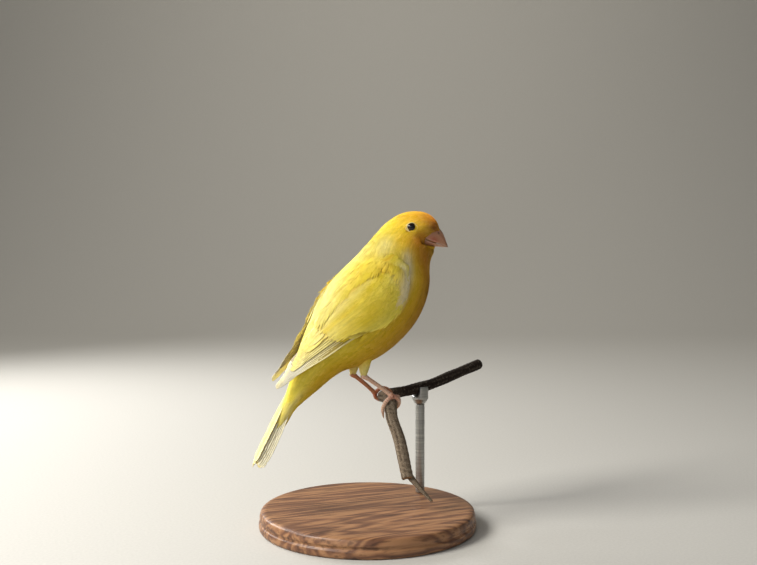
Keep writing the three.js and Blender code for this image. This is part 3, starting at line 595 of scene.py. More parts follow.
# %% Contour feather
def contour_feather(name, barb_mm):
    """Keratin barbs: colour from the markings, with noise at the barbs' spacing in the bump."""
    material, tree, shader, place = new_material(name, {
        "Roughness": 0.62, "IOR": 1.54, "Specular IOR Level": 0.12, "Subsurface Weight": 0.2,
        "Subsurface Radius": (1.0, 0.7, 0.2), "Subsurface Scale": 0.0006})
    paint = uneven(tree, 0.4, noise(tree, place, 260.0, 2.0), (0.3, "e6dcc4"), (0.7, "ffffff"))
    wire(tree, shader, paint, (0.35, 0.0001, noise(tree, place, 500.0 / barb_mm, 1.0)))
    return material


coat_feather = contour_feather("contour_feather_keratin", 0.5)
skin_down = contour_feather("down_over_skin", 0.8)

# %% [markdown]
# The skin
#
# Under the feathers is one skin over body, head, thighs and the meat of the wings. The forms are
# made one by one, each closed, and a voxel remesh melts them into a single surface with no
# seam. Afterwards each point is asked where it lies on the body, which gives its colour and its
# place on the flat unwrapping: the degrees round the body across, and the ribs upwards.

# %% One skin
THIGH_TOP = np.array([-13.2, 4.9, 22.0])
THIGH_RADII = (4.8, 1.5)
ANKLE = {RIGHT: np.array([-13.7, -5.0, 10.5]), LEFT: np.array([-14.7, 5.0, 10.0])}
UV_MARGIN, UV_ROUND = 0.02, 0.56  # the body's part of the unwrapping
VOXEL = 0.42


def thigh_surface(side, share, around, swell=0.0):
    """A cone round the line from hip to ankle, radius 4.8 to 1.5 mm with the share to the power
    0.8, drawn in at the cuff; round 0 faces forward and a quarter turn faces out."""
    share, around, swell = np.broadcast_arrays(share, around, swell)
    top = THIGH_TOP * (1, side, 1)
    end = mix(ANKLE[side], top, 0.06)
    axis = unit(end - top)
    ahead = unit(FORWARD - axis * axis[0])
    outward = np.cross(ahead, axis)
    outward = outward * np.sign(outward[1] * side)
    radius = mix(THIGH_RADII[0], THIGH_RADII[1], np.clip(share, 0, 1) ** 0.8) + swell
    radius = radius * np.sqrt(np.clip(1 - (np.clip(share - 0.86, 0, 1) / 0.3) ** 2, 0.72, 1))
    ring = ahead * np.cos(around)[..., None] + outward * np.sin(around)[..., None]
    return top + (end - top) * share[..., None] + ring * radius[..., None]


def wing_slab(side):
    """The wing's meat: a leaf between two heights over its face, closed round the edge."""
    along = np.linspace(-0.04, 0.66, 50)[:, None]
    angle = full_turn(40)
    wide = np.sqrt(np.clip(1 - ((along - 0.31) / 0.355) ** 4, 0.01, 1))
    across = 0.5 + 0.47 * wide * np.sign(np.cos(angle)) * np.abs(np.cos(angle)) ** 0.5
    return wing_point(side, along, across, -1.45 + 0.9 * np.sin(angle) * wide)


def place_on_body(points):
    """The rib and the degrees round it of each point, unturning the head's share a few times."""
    rib, height = place_on_rib(points[:, 0], points[:, 2])
    for _ in range(5):
        flat = turned(points, -neck_share(rib))
        rib, height = place_on_rib(flat[:, 0], points[:, 2])
    half = read_rows(RIBS, rib)[:, 4]
    return rib, np.arctan2(-flat[:, 1] / half, height)


def wrap(around):
    """An angle brought between minus half a turn and half a turn."""
    return (around + np.pi) % (2 * np.pi) - np.pi


def skin_uv(rib, around):
    """The body's part of the unwrapping: round it across, from the belly's seam, ribs upwards."""
    return np.stack([UV_MARGIN + UV_ROUND * (0.5 + around / (2 * np.pi)),
                     UV_MARGIN + (1 - 2 * UV_MARGIN) * rib / LAST_RIB], -1)


def remeshed(form, voxel_mm):
    """Blender's voxel remesh of closed forms, as an array of points and an array of quads."""
    rough = bpy.data.meshes.new("rough")
    rough.from_pydata(to_part(form[0]).tolist(), [], form[1].tolist())
    holder = bpy.data.objects.new("rough", rough)
    bpy.context.scene.collection.objects.link(holder)
    melt = holder.modifiers.new("melt", "REMESH")
    melt.mode = "VOXEL"
    melt.voxel_size = voxel_mm * 0.001
    even = holder.modifiers.new("even", "SMOOTH")
    even.factor, even.iterations = 0.5, 6
    done = holder.evaluated_get(bpy.context.evaluated_depsgraph_get()).to_mesh()
    place = np.empty(len(done.vertices) * 3, np.float32)
    done.vertices.foreach_get("co", place)
    corners = np.empty(len(done.loops), np.int32)
    done.loops.foreach_get("vertex_index", corners)
    bpy.data.objects.remove(holder)
    bpy.data.meshes.remove(rough)
    return place.reshape(-1, 3) * 1000.0 - GRIP_IN_PART, corners.reshape(-1, 4)

# %% Melting the forms together
ribs = np.linspace(0.1, LAST_RIB, 150)[:, None]
forms = [closed_tube(body_surface(ribs, full_turn(96), -coat_depth(ribs)))]
for side, _ in SIDES:
    shares = np.linspace(-0.3, 0.99, 40)[:, None]
    forms.append(closed_tube(thigh_surface(side, shares, full_turn(48), -0.7)))
    forms.append(closed_tube(wing_slab(side)))
skin_points, skin_quads = remeshed(join_forms(forms), VOXEL)
rib, around = place_on_body(skin_points)
uv = skin_uv(rib, around)[skin_quads]
uv[:, :, 0] -= UV_ROUND * np.round((uv[:, :, 0] - uv[:, :1, 0]) / UV_ROUND)
# the skin takes the plumage's colours, 6 % darker as painted shade under the coat
skin = make_mesh("skin", (skin_points, skin_quads, uv), skin_down, body_colour(rib, around) * 0.94)
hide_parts("head", "neck", "torso", "thigh_right", "thigh_left")

# %% [markdown]
# Small feathers as blades
#
# A body feather is a fan of barbs. Each tuft of barbs is a narrow closed blade of five stations
# that starts in the skin, rises through the coat and lies down along the surface towards the tail.
# Four to nine blades share a root and one shade and spread a little, and that is one feather. All
# blades are computed together, and the surface function does the bending.

# %% Blades over a surface
PATCH = 0.003  # size of one blade on the unwrapping
BARB_LEAN = 0.2
STATIONS = np.array([0.0, 0.22, 0.58, 0.87, 1.0])  # shares of a blade's length
RISE = np.array([0.0, 0.55, 0.96, 0.94, 0.8])  # how far it has risen there


def blades(surface, start, end, width, heights, curl):
    """Centre lines run on the surface from start to end at the given heights. Each station but the
    first and last is a triangle: both edges and a low ridge. Returns points with their normals
    (N, P, 6): a blade's normals are the surface's own, leaning only a little over its edges, so
    that thousands of blades catch the light together as plumage does."""
    place = start[:, None] + (end - start)[:, None] * STATIONS[None, :, None]
    centre = surface(place[..., 0], place[..., 1], heights)
    out = unit(surface(place[..., 0], place[..., 1], heights + 0.3) - centre)
    side = unit(np.cross(out, unit(np.gradient(centre, axis=1))))
    taper = np.sin(np.pi * np.clip(0.08 + 0.74 * STATIONS, 0, 1)) ** 0.8
    half = (width[:, None] * taper / 2)[..., None]
    edge = side * half + out * half * curl[:, None, None]
    ridge = out * np.minimum(half * 0.2, 0.04)
    rings = np.stack([centre - edge, centre + ridge, centre + edge], 2)
    normals = np.stack([out - side * BARB_LEAN, out, out + side * BARB_LEAN], 2)
    rings = np.concatenate([rings, unit(normals)], -1)[:, 1:-1].reshape(len(start), -1, 6)
    ends = np.concatenate([centre, out], -1)
    return np.concatenate([ends[:, :1], rings, ends[:, -1:]], 1)


def blade_faces(count):
    """The triangles of one blade repeated for all, its corners' places on its patch, one blade's
    triangles, and for each 1 on its upper side and -1 underneath."""
    rings = len(STATIONS) - 2
    tip = 1 + rings * 3
    one = [(0, 1, 2), (0, 2, 3), (0, 3, 1)]
    for a in range(1, tip - 3, 3):
        for k, b in ((0, 1), (1, 2), (2, 0)):
            one += [(a + k, a + 3 + b, a + b), (a + k, a + 3 + k, a + 3 + b)]
    a = tip - 3
    one = np.array(one + [(a, tip, a + 1), (a + 1, tip, a + 2), (a + 2, tip, a)])
    facing = np.array([1, 1, -1] + [1, 1, 1, 1, -1, -1] * (rings - 1) + [1, 1, -1])
    local = np.zeros((tip + 1, 2))
    ring, corner = np.divmod(np.arange(tip - 1), 3)
    local[1:-1, 0] = corner / 2 - 0.5
    local[1:-1, 1] = (ring + 1) / (rings + 1)
    local[-1, 1] = 1.0
    faces = one[None] + (np.arange(count) * (tip + 1))[:, None, None]
    return faces.reshape(-1, 3), local, one, facing

# %% Tufts of blades
def columns(count, *parts):
    """Numbers or arrays as the columns of one array."""
    return np.stack([np.broadcast_to(np.asarray(part, float), count) for part in parts], 1)


def tufts(rng, surface, spot, run, barbs, fan, width, depth, stand):
    """Feathers at spots (u, v) whose tips lie at spot + run. Fan is half a feather's breadth as a
    step of v, depth the height of the root and stand that of the tip. Returns points per blade,
    the root and tip place of each blade, and each blade's shade."""
    count = len(spot)
    run, spread = columns(count, *run), columns(count, 0.0, fan)
    width, depth, stand = columns(count, width, depth, stand).T
    share = (np.arange(barbs) + 0.5) / barbs * 2 - 1
    share = share[None, :] + rng.normal(0, 0.16, (count, barbs))
    tilt = rng.normal(0, 0.10, (count, 1))
    start = spot[:, None] + share[..., None] * spread[:, None] * 0.35
    reach = 1 - 0.28 * np.abs(share) ** 2 + rng.normal(0, 0.07, (count, barbs))
    end = start + run[:, None] * reach[..., None] + share[..., None] * spread[:, None] * 0.65
    end = end + spread[:, None] * tilt[..., None]
    depth = np.repeat(depth, barbs)[:, None]
    lifted = np.repeat(stand, barbs) + rng.normal(0, 0.025, count * barbs)
    heights = depth + (lifted[:, None] - depth) * RISE[None]
    width = np.repeat(width, barbs) * rng.uniform(0.8, 1.25, count * barbs)
    start, end = start.reshape(-1, 2), end.reshape(-1, 2)
    made = blades(surface, start, end, width, heights, rng.normal(0, 0.07, count * barbs))
    shade = np.repeat(rng.normal(0, 1, count), barbs) * 0.8 + rng.normal(0, 1, count * barbs) * 0.25
    return made, start, end, shade


def body_toned(made, start, end, shade):
    """Tufts with the body's colours at root and tip, and their roots on the unwrapping."""
    tones = body_colour(*start.T), body_colour(*end.T)
    return made, *tones, shade, skin_uv(start[:, 0], wrap(start[:, 1]))


def coat_piece(name, parts):
    """Joins lists of (points, root colour, tip colour, shade, uv of the root) in one mesh."""
    points, root_colour, tip_colour, shade, root_uv = map(np.concatenate, zip(*parts))
    faces, local, one, facing = blade_faces(len(points))
    level = local[:, 1][None, :, None]
    shade = shade[:, None, None]
    colour = mix(root_colour[:, None], tip_colour[:, None], level)
    # darker towards each blade's root, where it lies under the blades before: painted shade; and
    # each feather's own random tone
    root_shade_and_tone = mix(0.85, 1.0, smoothstep(level * 2.2)) * (1 + 0.05 * shade)
    paler = np.clip(0.05 * level + 0.02 * shade, 0, 1)
    colour = np.clip(mix(colour * root_shade_and_tone, TONE["frost"], paler), 0, 1)
    uv = root_uv[:, None] + local[None] * PATCH
    form = points[..., :3].reshape(-1, 3), faces, uv[:, one].reshape(-1, 3, 2)
    made = make_mesh(name, form, coat_feather, colour.reshape(-1, 3))
    normals = points[:, one, 3:] * facing[:, None, None]
    made.data.normals_split_custom_set(normals.reshape(-1, 3).astype(np.float32))

# %% [markdown]
# Where the coat grows
#
# Feathers stand in rows round the body, each row set off by half a step like bricks. The steps are
# long on the breast and back and short on the face, where the tufts are only a millimetre long.
# None grows inside the ring of the eye, and those near it part and flow round it.

# %% The eye's place, and the coat parted round it
EYE = {"x": 8.1, "y": 7.3, "z": 71.2, "radius": 2.25, "sink": 1.7}
EYE_RIM = 2.08
RIM_REACH = 5.0  # mm from the eye's middle within which the coat parts
eye_rib, eye_height = place_on_rib(np.array(EYE["x"]), np.array(EYE["z"]))
EYE_RIB = float(eye_rib)
EYE_AROUND = float(np.arccos(eye_height))
print("the eye lies at rib", round(EYE_RIB, 2), "and", round(EYE_AROUND / DEGREE, 1), "degrees")


def mm_per_unit(rib, around):
    """How many millimetres one rib and one radian are worth at a place."""
    step = 0.05
    by_rib = body_surface(rib + step, around) - body_surface(rib - step, around)
    by_turn = body_surface(rib, around + step) - body_surface(rib, around - step)
    return (np.linalg.norm(change, axis=-1) / (2 * step) for change in (by_rib, by_turn))


EYE_SCALE = [float(v) for v in mm_per_unit(np.array(EYE_RIB), np.array(EYE_AROUND))]


def from_eye(rib, around):
    """The distance in mm from the nearer eye's middle, and that offset's two parts."""
    ahead = (rib - EYE_RIB) * EYE_SCALE[0]
    over = (np.abs(around) - EYE_AROUND) * EYE_SCALE[1]
    return np.hypot(ahead, over), ahead, over


def parted(rib, around, swell=0.0):
    """The body's surface with the places inside the eye's ring pushed out to the ring: the distance
    d becomes the smooth maximum of d and the ring's radius."""
    rib, around, swell = np.broadcast_arrays(rib, around, swell)
    far, ahead, over = from_eye(rib, around)
    near = far < RIM_REACH
    wanted = np.where(near, (far + EYE_RIM + np.hypot(far - EYE_RIM, 0.5)) / 2 - 0.02, far)
    grow = mix(wanted, far, smoothstep((far - 3.2) / 1.6)) / np.maximum(far, 1e-3)
    moved_rib = EYE_RIB + ahead * grow / EYE_SCALE[0]
    moved_around = np.sign(around) * (EYE_AROUND + over * grow / EYE_SCALE[1])
    return body_surface(np.where(near, moved_rib, rib), np.where(near, moved_around, around), swell)

# %% Rows like bricks
BODY_BARBS = 7
TRIANGLES_PER_BLADE, MOST_TRIANGLES = 24, 180000


def inside_outline(x, z, outline):
    """Counts the outline's edges to the right of each point: an odd count is inside."""
    inside = np.zeros(x.shape, bool)
    for (x0, z0), (x1, z1) in zip(outline, np.roll(outline, -1, axis=0)):
        crosses = (z0 > z) != (z1 > z)
        reach = x0 + (z - z0) * (x1 - x0) / (z1 - z0 if z1 != z0 else 1e-9)
        inside ^= crosses & (x < reach)
    return inside


def under_wing(points, share_in):
    """True where a point of the body is covered by a folded wing, its outline drawn in a little."""
    covered = np.zeros(len(points), bool)
    along = np.linspace(0.0, 1.0, 30)
    for side, _ in SIDES:
        edge = np.concatenate([wing_face(side, along, 1 - share_in),
                               wing_face(side, along[::-1], share_in)])[:, [0, 2]]
        covered |= inside_outline(points[:, 0], points[:, 2], edge) & (points[:, 1] * side > 2.0)
    return covered


def size_at(rib, body, head, face):
    """A size that shrinks from the body to the head and again to the face at the bill."""
    rib = np.asarray(rib, float)
    return mix(mix(body, head, smoothstep((rib - 8.2) / 2.6)), face, smoothstep((rib - 12.6) / 2.6))


def coat_rows(rng, rib, last):
    """Spots in brick-like rows from one rib to another, 1.32 mm apart on the body, 0.66 mm on the
    head and 0.44 mm on the face, and a tenth closer along the body."""
    spots = []
    while rib < last:
        gap = float(size_at(rib, 1.32, 0.66, 0.44))
        turns = np.linspace(-np.pi, np.pi, 61)
        by_rib, by_turn = mm_per_unit(np.full(61, rib), turns)
        length = np.concatenate([[0], np.cumsum((by_turn[1:] + by_turn[:-1]) / 2 * np.diff(turns))])
        count = max(6, int(length[-1] / gap))
        share = (np.arange(count) + 0.5 * (len(spots) % 2) + rng.normal(0, 0.18, count)) / count
        around = np.interp(share % 1.0 * length[-1], length, turns)
        step = gap * 0.9 / by_rib.mean()
        spots.append(np.stack([rib + rng.normal(0, 0.2, count) * step, around], 1))
        rib += step
    return np.concatenate(spots)

# %% The body's coat
rng = np.random.default_rng(5)
spots = coat_rows(rng, 0.25, LAST_RIB - 0.1)
places = body_surface(*spots.T)
flat = turned(places, -neck_share(spots[:, 0]))
along, height = mouth_place(flat[:, 0], flat[:, 2])
feathered = (along < face_edge(height) - 0.1) | (height < -2.9)
spots = spots[~under_wing(places, 0.14) & (from_eye(*spots.T)[0] > EYE_RIM * 0.82) & feathered]
rib, around = spots.T
length = size_at(rib, 6.0, 2.9, 1.35) * rng.uniform(0.85, 1.15, len(spots))
length = np.minimum(length, 0.4 + rib * 9)
by_rib, by_turn = mm_per_unit(rib, around)
made = body_toned(*tufts(
    rng, parted, spots, (-length / by_rib, 0.0), BODY_BARBS,
    size_at(rib, 2.9, 1.5, 0.9) / 2 / by_turn, size_at(rib, 0.66, 0.37, 0.22),
    -coat_depth(rib) - 0.15, rng.normal(-0.04, 0.03, len(spots))))
order = np.argsort(np.repeat(rib, BODY_BARBS), kind="stable")
pieces = max(1, int(np.ceil(len(order) * TRIANGLES_PER_BLADE / MOST_TRIANGLES)))
for number, chosen in enumerate(np.array_split(order, pieces)):
    coat_piece(f"coat_body_{number + 1}", [tuple(part[chosen] for part in made)])
print("body feathers:", len(spots), "of", BODY_BARBS, "blades")

# %% Thighs
parts = []
rows, across = np.arange(13)[:, None], np.arange(20)[None]
for side, _ in SIDES:
    share = (rows + rng.uniform(-0.3, 0.3, (13, 20))) / 13 * 0.9
    turn = (across + 0.5 * (rows % 2)) / 20 * 2 * np.pi
    spot = np.stack([share.ravel(), (turn + rng.normal(0, 0.04, turn.shape)).ravel()], 1)
    share, count = spot[:, 0], len(spot)
    run = 0.30 * rng.uniform(0.8, 1.1, count)
    run = np.minimum(run, 1.12 - share) * rng.uniform(0.9, 1.0, count)
    made, start, end, shade = tufts(
        rng, lambda *place: thigh_surface(side, *place), spot, (run, 0.0), 6,
        mix(0.22, 0.5, share), mix(0.46, 0.3, share), -0.85, 0.0)
    level = smoothstep((start[:, :1] - 0.25) / 0.5)
    deep, light = mix(TONE["yellow"], TONE["gold"], 0.5), mix(TONE["lemon"], TONE["cream"], 0.6)
    tone = mix(deep, light, level)
    pale = mix(TONE["yellow"], TONE["cream"], 0.3 + 0.6 * level)
    uv = skin_uv(3.2 - start[:, 0], wrap(-side * np.pi / 2) + 0.3 * start[:, 1])
    parts.append((made, tone, pale, shade, uv))
coat_piece("coat_thighs", parts)

# %% [markdown]
# Long feathers as vanes
#
# Flight and tail feathers have a shaft and a stiff vane either side of it, the outer one narrower.
# A vane is a thin closed tube: the cross-section runs over the top, with a raised shaft, and back
# underneath. Its outline swells, stays broad and rounds off at the tip, with a split or two where
# barbs have come unzipped. All vanes of a wing are one array of rings.

# %% Vanes
TOP = np.array([-1.0, -0.82, -0.55, -0.25, -0.07, 0.0, 0.07, 0.25, 0.55, 0.82, 1.0])
UNDER = np.array([0.8, 0.45, 0.12, -0.12, -0.45, -0.8])
SECTION = np.concatenate([TOP, UNDER])  # shares of the half breadth, round the cross-section
IS_TOP = np.arange(len(SECTION)) < len(TOP)
OPEN = -1.0  # the cover of a place that lies under no other feather
# the part of a vane under a covering feather's edge is painted darker: painted shade
COVER_FROM, COVER_TO = -0.32, 0.02  # mm of cover over which the edge darkens
BARB_WAVES = 22.0  # radians of barb to the mm


def outline_width(t, tip):
    """The share of full breadth: from 0.5 at the root to 1, then an elliptic tip that starts at a
    share of the length."""
    grow = mix(0.5, 1.0, smoothstep(t / 0.4))
    return grow * np.sqrt(np.clip(1 - (np.clip(t - tip, 0, 1) / (1.004 - tip)) ** 2.2, 0.0, 1))


def vane_rings(rng, centre, out, across, half, narrow, camber, tip, thick=0.16):
    """Rings (N, M, C, 3): centre + across x side offset + out x height, where the side offset is
    half times 1 or times narrow by the side, and the height follows shaft and camber."""
    count, steps = centre.shape[:2]
    t = np.linspace(0, 1, steps)[None, :]
    width = outline_width(t, tip)
    for _ in range(2):
        split = rng.uniform(0.45, 0.95, (count, 1))
        width = width * (1 - rng.uniform(0.05, 0.2, (count, 1)) * bell((t - split) / 0.02))
    s, t, width = SECTION, t[..., None], width[..., None]
    offset = half[:, None, None] * width * s * np.where(s < 0, narrow, 2 - narrow)
    level = np.where(IS_TOP, 0.5, -0.5) * thick * (1 - 0.75 * s ** 2)
    shaft = np.where(IS_TOP, 0.11, -0.06) * bell(s / 0.06) * mix(1.0, 0.3, t)
    ripple = 0.015 * np.sin(t * 40 + s * 3 + rng.uniform(0, 6, (count, 1, 1)))
    height = level + shaft - camber * s ** 2 * width + ripple * s ** 2
    return (centre[:, :, None] + across[:, :, None] * offset[..., None]
            + out[:, :, None] * height[..., None])


def many_tubes(rings):
    """Closed tubes for all rings (N, M, C, 3), each turned outwards by its own signed volume, and
    a place on a board of square fields for each."""
    forms = [closed_tube(one) for one in rings]
    points, triangles, uv = join_forms(forms)
    board = int(np.ceil(np.sqrt(len(forms))))
    field = np.repeat(np.arange(len(forms)), [len(form[1]) for form in forms])
    corner = np.stack([field % board, field // board], 1)[:, None, :]
    return points, triangles, (corner + 0.05 + 0.9 * uv) / board

# %% Flight feather
def flight_feather(name):
    """Keratin vane: fine slanting barbs drawn as waves on a distance kept with each point, and
    painted shade, in brown, where the next feather's edge covers it."""
    material, tree, shader, place = new_material(name, {
        "Roughness": 0.5, "Specular IOR Level": 0.35, "Subsurface Weight": 0.12,
        "Subsurface Radius": (1.0, 0.85, 0.5), "Subsurface Scale": 0.0004})
    paint = uneven(tree, 0.35, noise(tree, place, 420.0, 3.0), (0.3, "ddd3bb"), (0.65, "ffffff"))
    # painted shade in brown under the edge of the feather that covers this one
    shaded = add(tree, "MapRange", {"interpolation_type": "SMOOTHSTEP"}, {
        "Value": stored(tree, "covered"), "From Min": COVER_FROM,
        "From Max": COVER_TO, "To Max": stored(tree, "painted_shade_darkest")}).outputs["Result"]
    paint = blended(tree, shaded, paint, opaque("6b4a1c"))
    barbs = calculated(tree, "MULTIPLY", stored(tree, "barb"), BARB_WAVES)
    wire(tree, shader, paint, (0.2, 0.00005, calculated(tree, "SINE", barbs)))
    return material


long_feather = flight_feather("flight_feather_keratin")


def vane_piece(name, rings, colour, barb, covered, painted_shade_darkest):
    """One object from vanes: their colours, barb distances, cover by the next and how dark the
    painted shade under it gets, and own fields."""
    made = make_mesh(name, many_tubes(rings), long_feather, per_point(colour).reshape(-1, 3))
    covered = np.where(IS_TOP, covered, OPEN)
    painted_shade_darkest = np.broadcast_to(np.reshape(painted_shade_darkest, (-1, 1, 1)), covered.shape)
    for title, values in (("barb", barb), ("covered", covered), ("painted_shade_darkest", painted_shade_darkest)):
        layer = made.data.attributes.new(title, "FLOAT", "POINT")
        fill(layer.data, "value", per_point(values[..., None]).astype(np.float32))
    return made

# %% [markdown]
# The folded wing
#
# The feathers of a folded wing lie in tiers, each over the roots of the next: nine primaries that
# make the point, the secondaries above them, four broad tertials on top, and over all their roots
# the primary and greater coverts. A feather goes from a root to a tip, both as shares along and
# across the wing and a height over it. The small coverts at the shoulder are tufts again.

# %% Wing feathers
TIERS = [
    # name, how many, half breadth, narrow side, camber, start of tip, how far the cover is drawn
    # back in mm, how dark the painted shade under the cover gets, then first root, last root, first
    # tip and last tip as (along, across, height)
    ("primaries", 9, 1.9, 0.62, 0.02, 0.58, -0.10, 0.6,
     (0.28, 0.04, -1.10), (0.34, 0.34, -0.70), (0.985, 0.30, -0.62), (0.88, 0.84, -0.10)),
    ("secondaries", 7, 2.2, 0.8, 0.03, 0.70, -0.14, 0.15,
     (0.30, 0.30, -0.50), (0.36, 0.74, -0.15), (0.86, 0.62, -0.10), (0.74, 0.90, 0.15)),
    ("tertials", 4, 2.7, 0.9, 0.08, 0.62, -0.25, 0.08,
     (0.28, 0.60, 0.0), (0.28, 0.88, 0.15), (0.74, 0.76, 0.26), (0.60, 0.94, 0.42)),
    ("primary_coverts", 7, 1.1, 0.7, 0.02, 0.6, -0.2, 0.15,
     (0.18, 0.02, -0.60), (0.24, 0.22, -0.42), (0.48, 0.08, -0.50), (0.52, 0.26, -0.34)),
    ("greater_coverts", 12, 1.7, 0.9, 0.03, 0.55, -0.3, 0.05,
     (0.14, 0.12, -0.25), (0.14, 0.90, -0.10), (0.43, 0.20, -0.02), (0.42, 0.92, 0.42)),
]
WING_STEPS = 26
WING_LONG, WING_BROAD = 62, 15  # mm for a share of 1 along and across, near the small coverts


def under_edge(rings, edge, across):
    """How far, in mm, points lie under the lower edge of a feather that covers them: measured
    across it from the edge's nearest point, and none past the edge's end."""
    offset = rings[:, :, None] - edge
    nearest = (offset ** 2).sum(-1).argmin(-1)
    chosen = np.take_along_axis(offset, nearest[..., None, None], 2)[..., 0, :]
    inside = (nearest < len(edge) - 2) & (nearest > 0)
    return np.where(inside, (chosen * across[nearest]).sum(-1), OPEN)


def wing_vanes(rng, side):
    """Rings, colours, barb distances, cover and darkness of all long feathers of one wing."""
    tiers = []
    t = 1 - (1 - np.linspace(0, 1, WING_STEPS)) ** 1.35
    s, level = SECTION, t[:, None]
    for name, count, half, narrow, camber, tip_from, reach, painted_shade_darkest, *corners in TIERS:
        place = np.linspace(0, 1, count)[:, None]
        root_a, root_b, tip_a, tip_b = map(np.array, corners)
        root, tip = mix(root_a, root_b, place), mix(tip_a, tip_b, place)
        tip[:, 0] += rng.uniform(-0.006, 0.006, count)
        outermost = name == "primaries"
        if outermost:
            tip[1:3, 0] += (0.035, 0.02)
        way = root[:, None] + (tip - root)[:, None] * t[None, :, None]
        centre = wing_point(side, *np.moveaxis(way, -1, 0))
        out = wing_out(side, way[..., 0], way[..., 1])
        across = unit(np.cross(out, unit(np.gradient(centre, axis=1)))) * side
        halves = half * rng.uniform(0.94, 1.06, count)
        rings = vane_rings(rng, centre, out, across, halves, narrow, camber, tip_from)

        # markings: the wing's own, a paler lower web, white where the primaries run free, and
        # nearly
        # white underneath: partly the vanes' paler undersides, partly painted light on the far
        # wing's shaded inner side
        pale = (0.5 if outermost else 0.12) * smoothstep((-s - 0.1) / 0.5)
        pale = pale + outermost * 0.75 * smoothstep((level - 0.62) / 0.25)
        pale = np.clip(np.maximum(pale, 0.9 * ~IS_TOP), 0, 1)
        tone = wing_colour(way[..., 0], way[..., 1])[:, :, None]
        tone = lay(lay(tone, TONE["frost"], pale), TONE["ochre"], 0.10 * bell(s / 0.08))
        tone = tone * (1 + 0.03 * rng.normal(0, 1, (count, 1, 1, 1)))

        # the cover of each feather by the next, and by the first of this tier on the tier before,
        # which places the painted shade under their edges
        cover = [under_edge(rings[k], rings[k + 1, :, 0], across[k + 1]) for k in range(count - 1)]
        cover = np.stack(cover + [np.full(rings.shape[1:3], OPEN)]) + reach
        if name in ("secondaries", "tertials"):
            below = [under_edge(one, rings[0, :, 0], across[0]) for one in tiers[-1][0]]
            tiers[-1][3] = np.maximum(tiers[-1][3], np.stack(below) + reach)
        length = np.linalg.norm(centre[:, -1] - centre[:, 0], axis=1)[:, None, None]
        barb = length * level - np.abs(s) * halves[:, None, None] * 1.4
        tiers.append([rings, np.clip(tone, 0, 1), barb, cover, np.full(count, painted_shade_darkest)])
    return map(np.concatenate, zip(*tiers))

# %% Both wings
def wing_uv(side, along, across):
    """Each wing's own part of the unwrapping, beside the body's."""
    left = 0.62 if side == RIGHT else 0.82
    return np.stack([left + 0.15 * np.clip(across, -0.1, 1.2), 0.06 + 0.88 * along], -1)


for side, word in SIDES:
    rng = np.random.default_rng(31 + side)
    wing = vane_piece(f"wing_{word}_feathers", *wing_vanes(rng, side))
    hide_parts(f"wing_{word}")

    # the small coverts: rows of tufts from the wrist back, larger towards the rear, reaching
    # furthest back on the upper half of the wing
    rows, stems = np.arange(32)[:, None], np.arange(19)[None]
    along = -0.045 + 0.50 * (rows / 31) + rng.normal(0, 0.003, (32, 19))
    across = 0.02 + 0.98 * ((stems + 0.5 * (rows % 2)) / 19) + rng.normal(0, 0.006, (32, 19))
    spot = np.stack([along.ravel(), across.ravel()], 1)
    spot = spot[spot[:, 0] < mix(0.29, 0.46, smoothstep(spot[:, 1] / 0.4))]
    along, count = spot[:, 0], len(spot)
    rear = smoothstep((along + 0.05) / 0.3)
    run = mix(3.6, 7.5, rear) / WING_LONG * rng.uniform(0.8, 1.15, count)
    stand = mix(0.35, 1.1, rear) - 0.35 * smoothstep((along - 0.3) / 0.16)
    made, start, end, shade = tufts(
        rng, lambda *place: wing_point(side, *place), spot, (run, 0.02), 9,
        mix(1.0, 1.5, rear) / WING_BROAD, 0.48, stand - 1.1, stand + rng.normal(0, 0.03, count))
    tones = wing_colour(*start.T), wing_colour(*end.T)
    coat_piece(f"coat_wing_{word}", [(made, *tones, shade, wing_uv(side, *start.T))])

# %% Feathers that lap over the wing's edges
LAPPING = [
    # the way rows go on, drift, length, how many rows, and the line they start from in x and z
    ((0.5, 0.85), 0.0, 6.5, 5, [(-11, 57.5), (-5, 59.5), (0, 57), (2.5, 52), (1, 45)]),
    ((-0.7, 0.7), 0.8, 8.5, 5, [(-8, 58.5), (-15.5, 53.5), (-24, 46), (-30.5, 37.5)]),
    ((0.75, -0.65), -0.5, 6.0, 3, [(1.5, 46), (-0.5, 41), (-8, 32.5), (-15, 28)]),
]
STEM_GAP, ROW_GAP = 0.95, 0.9

parts = []
for side, _ in SIDES:
    rng = np.random.default_rng(61 + side)
    for outward, drift, length, rows, line in LAPPING:
        line = np.array(line)
        path = path_length(line)
        count = int(path[-1] / STEM_GAP)
        for row in range(rows):
            at = np.arange(count) + 0.5 * (row % 2) + rng.normal(0, 0.15, count)
            at = at / count * path[-1]
            x, z = (np.interp(at, path, line[:, k]) + outward[k] * (ROW_GAP * row - ROW_GAP)
                    for k in (0, 1))
            rib, height = place_on_rib(x, z)
            around = -side * np.arccos(np.clip(height, -1, 1))
            by_rib, by_turn = mm_per_unit(rib, around)
            reach = length * rng.uniform(0.85, 1.15, count)
            run = -reach / by_rib, -side * drift * reach / length / by_turn
            parts.append(body_toned(*tufts(
                rng, body_surface, np.stack([rib, around], 1), run, 9, 1.4 / by_turn, 0.42, -0.4,
                1.9 - 0.42 * row + rng.normal(0, 0.03, count))))
coat_piece("coat_shoulders", parts)

# %% [markdown]
# The tail
#
# Twelve feathers fold into a narrow roof: the middle pair on top, each next pair lower and a
# little further out, the whole leaning to the bird's right as in life when it turns its weight.
# A sleeve of coverts comes off the last ribs and lies over the roots, above and below.

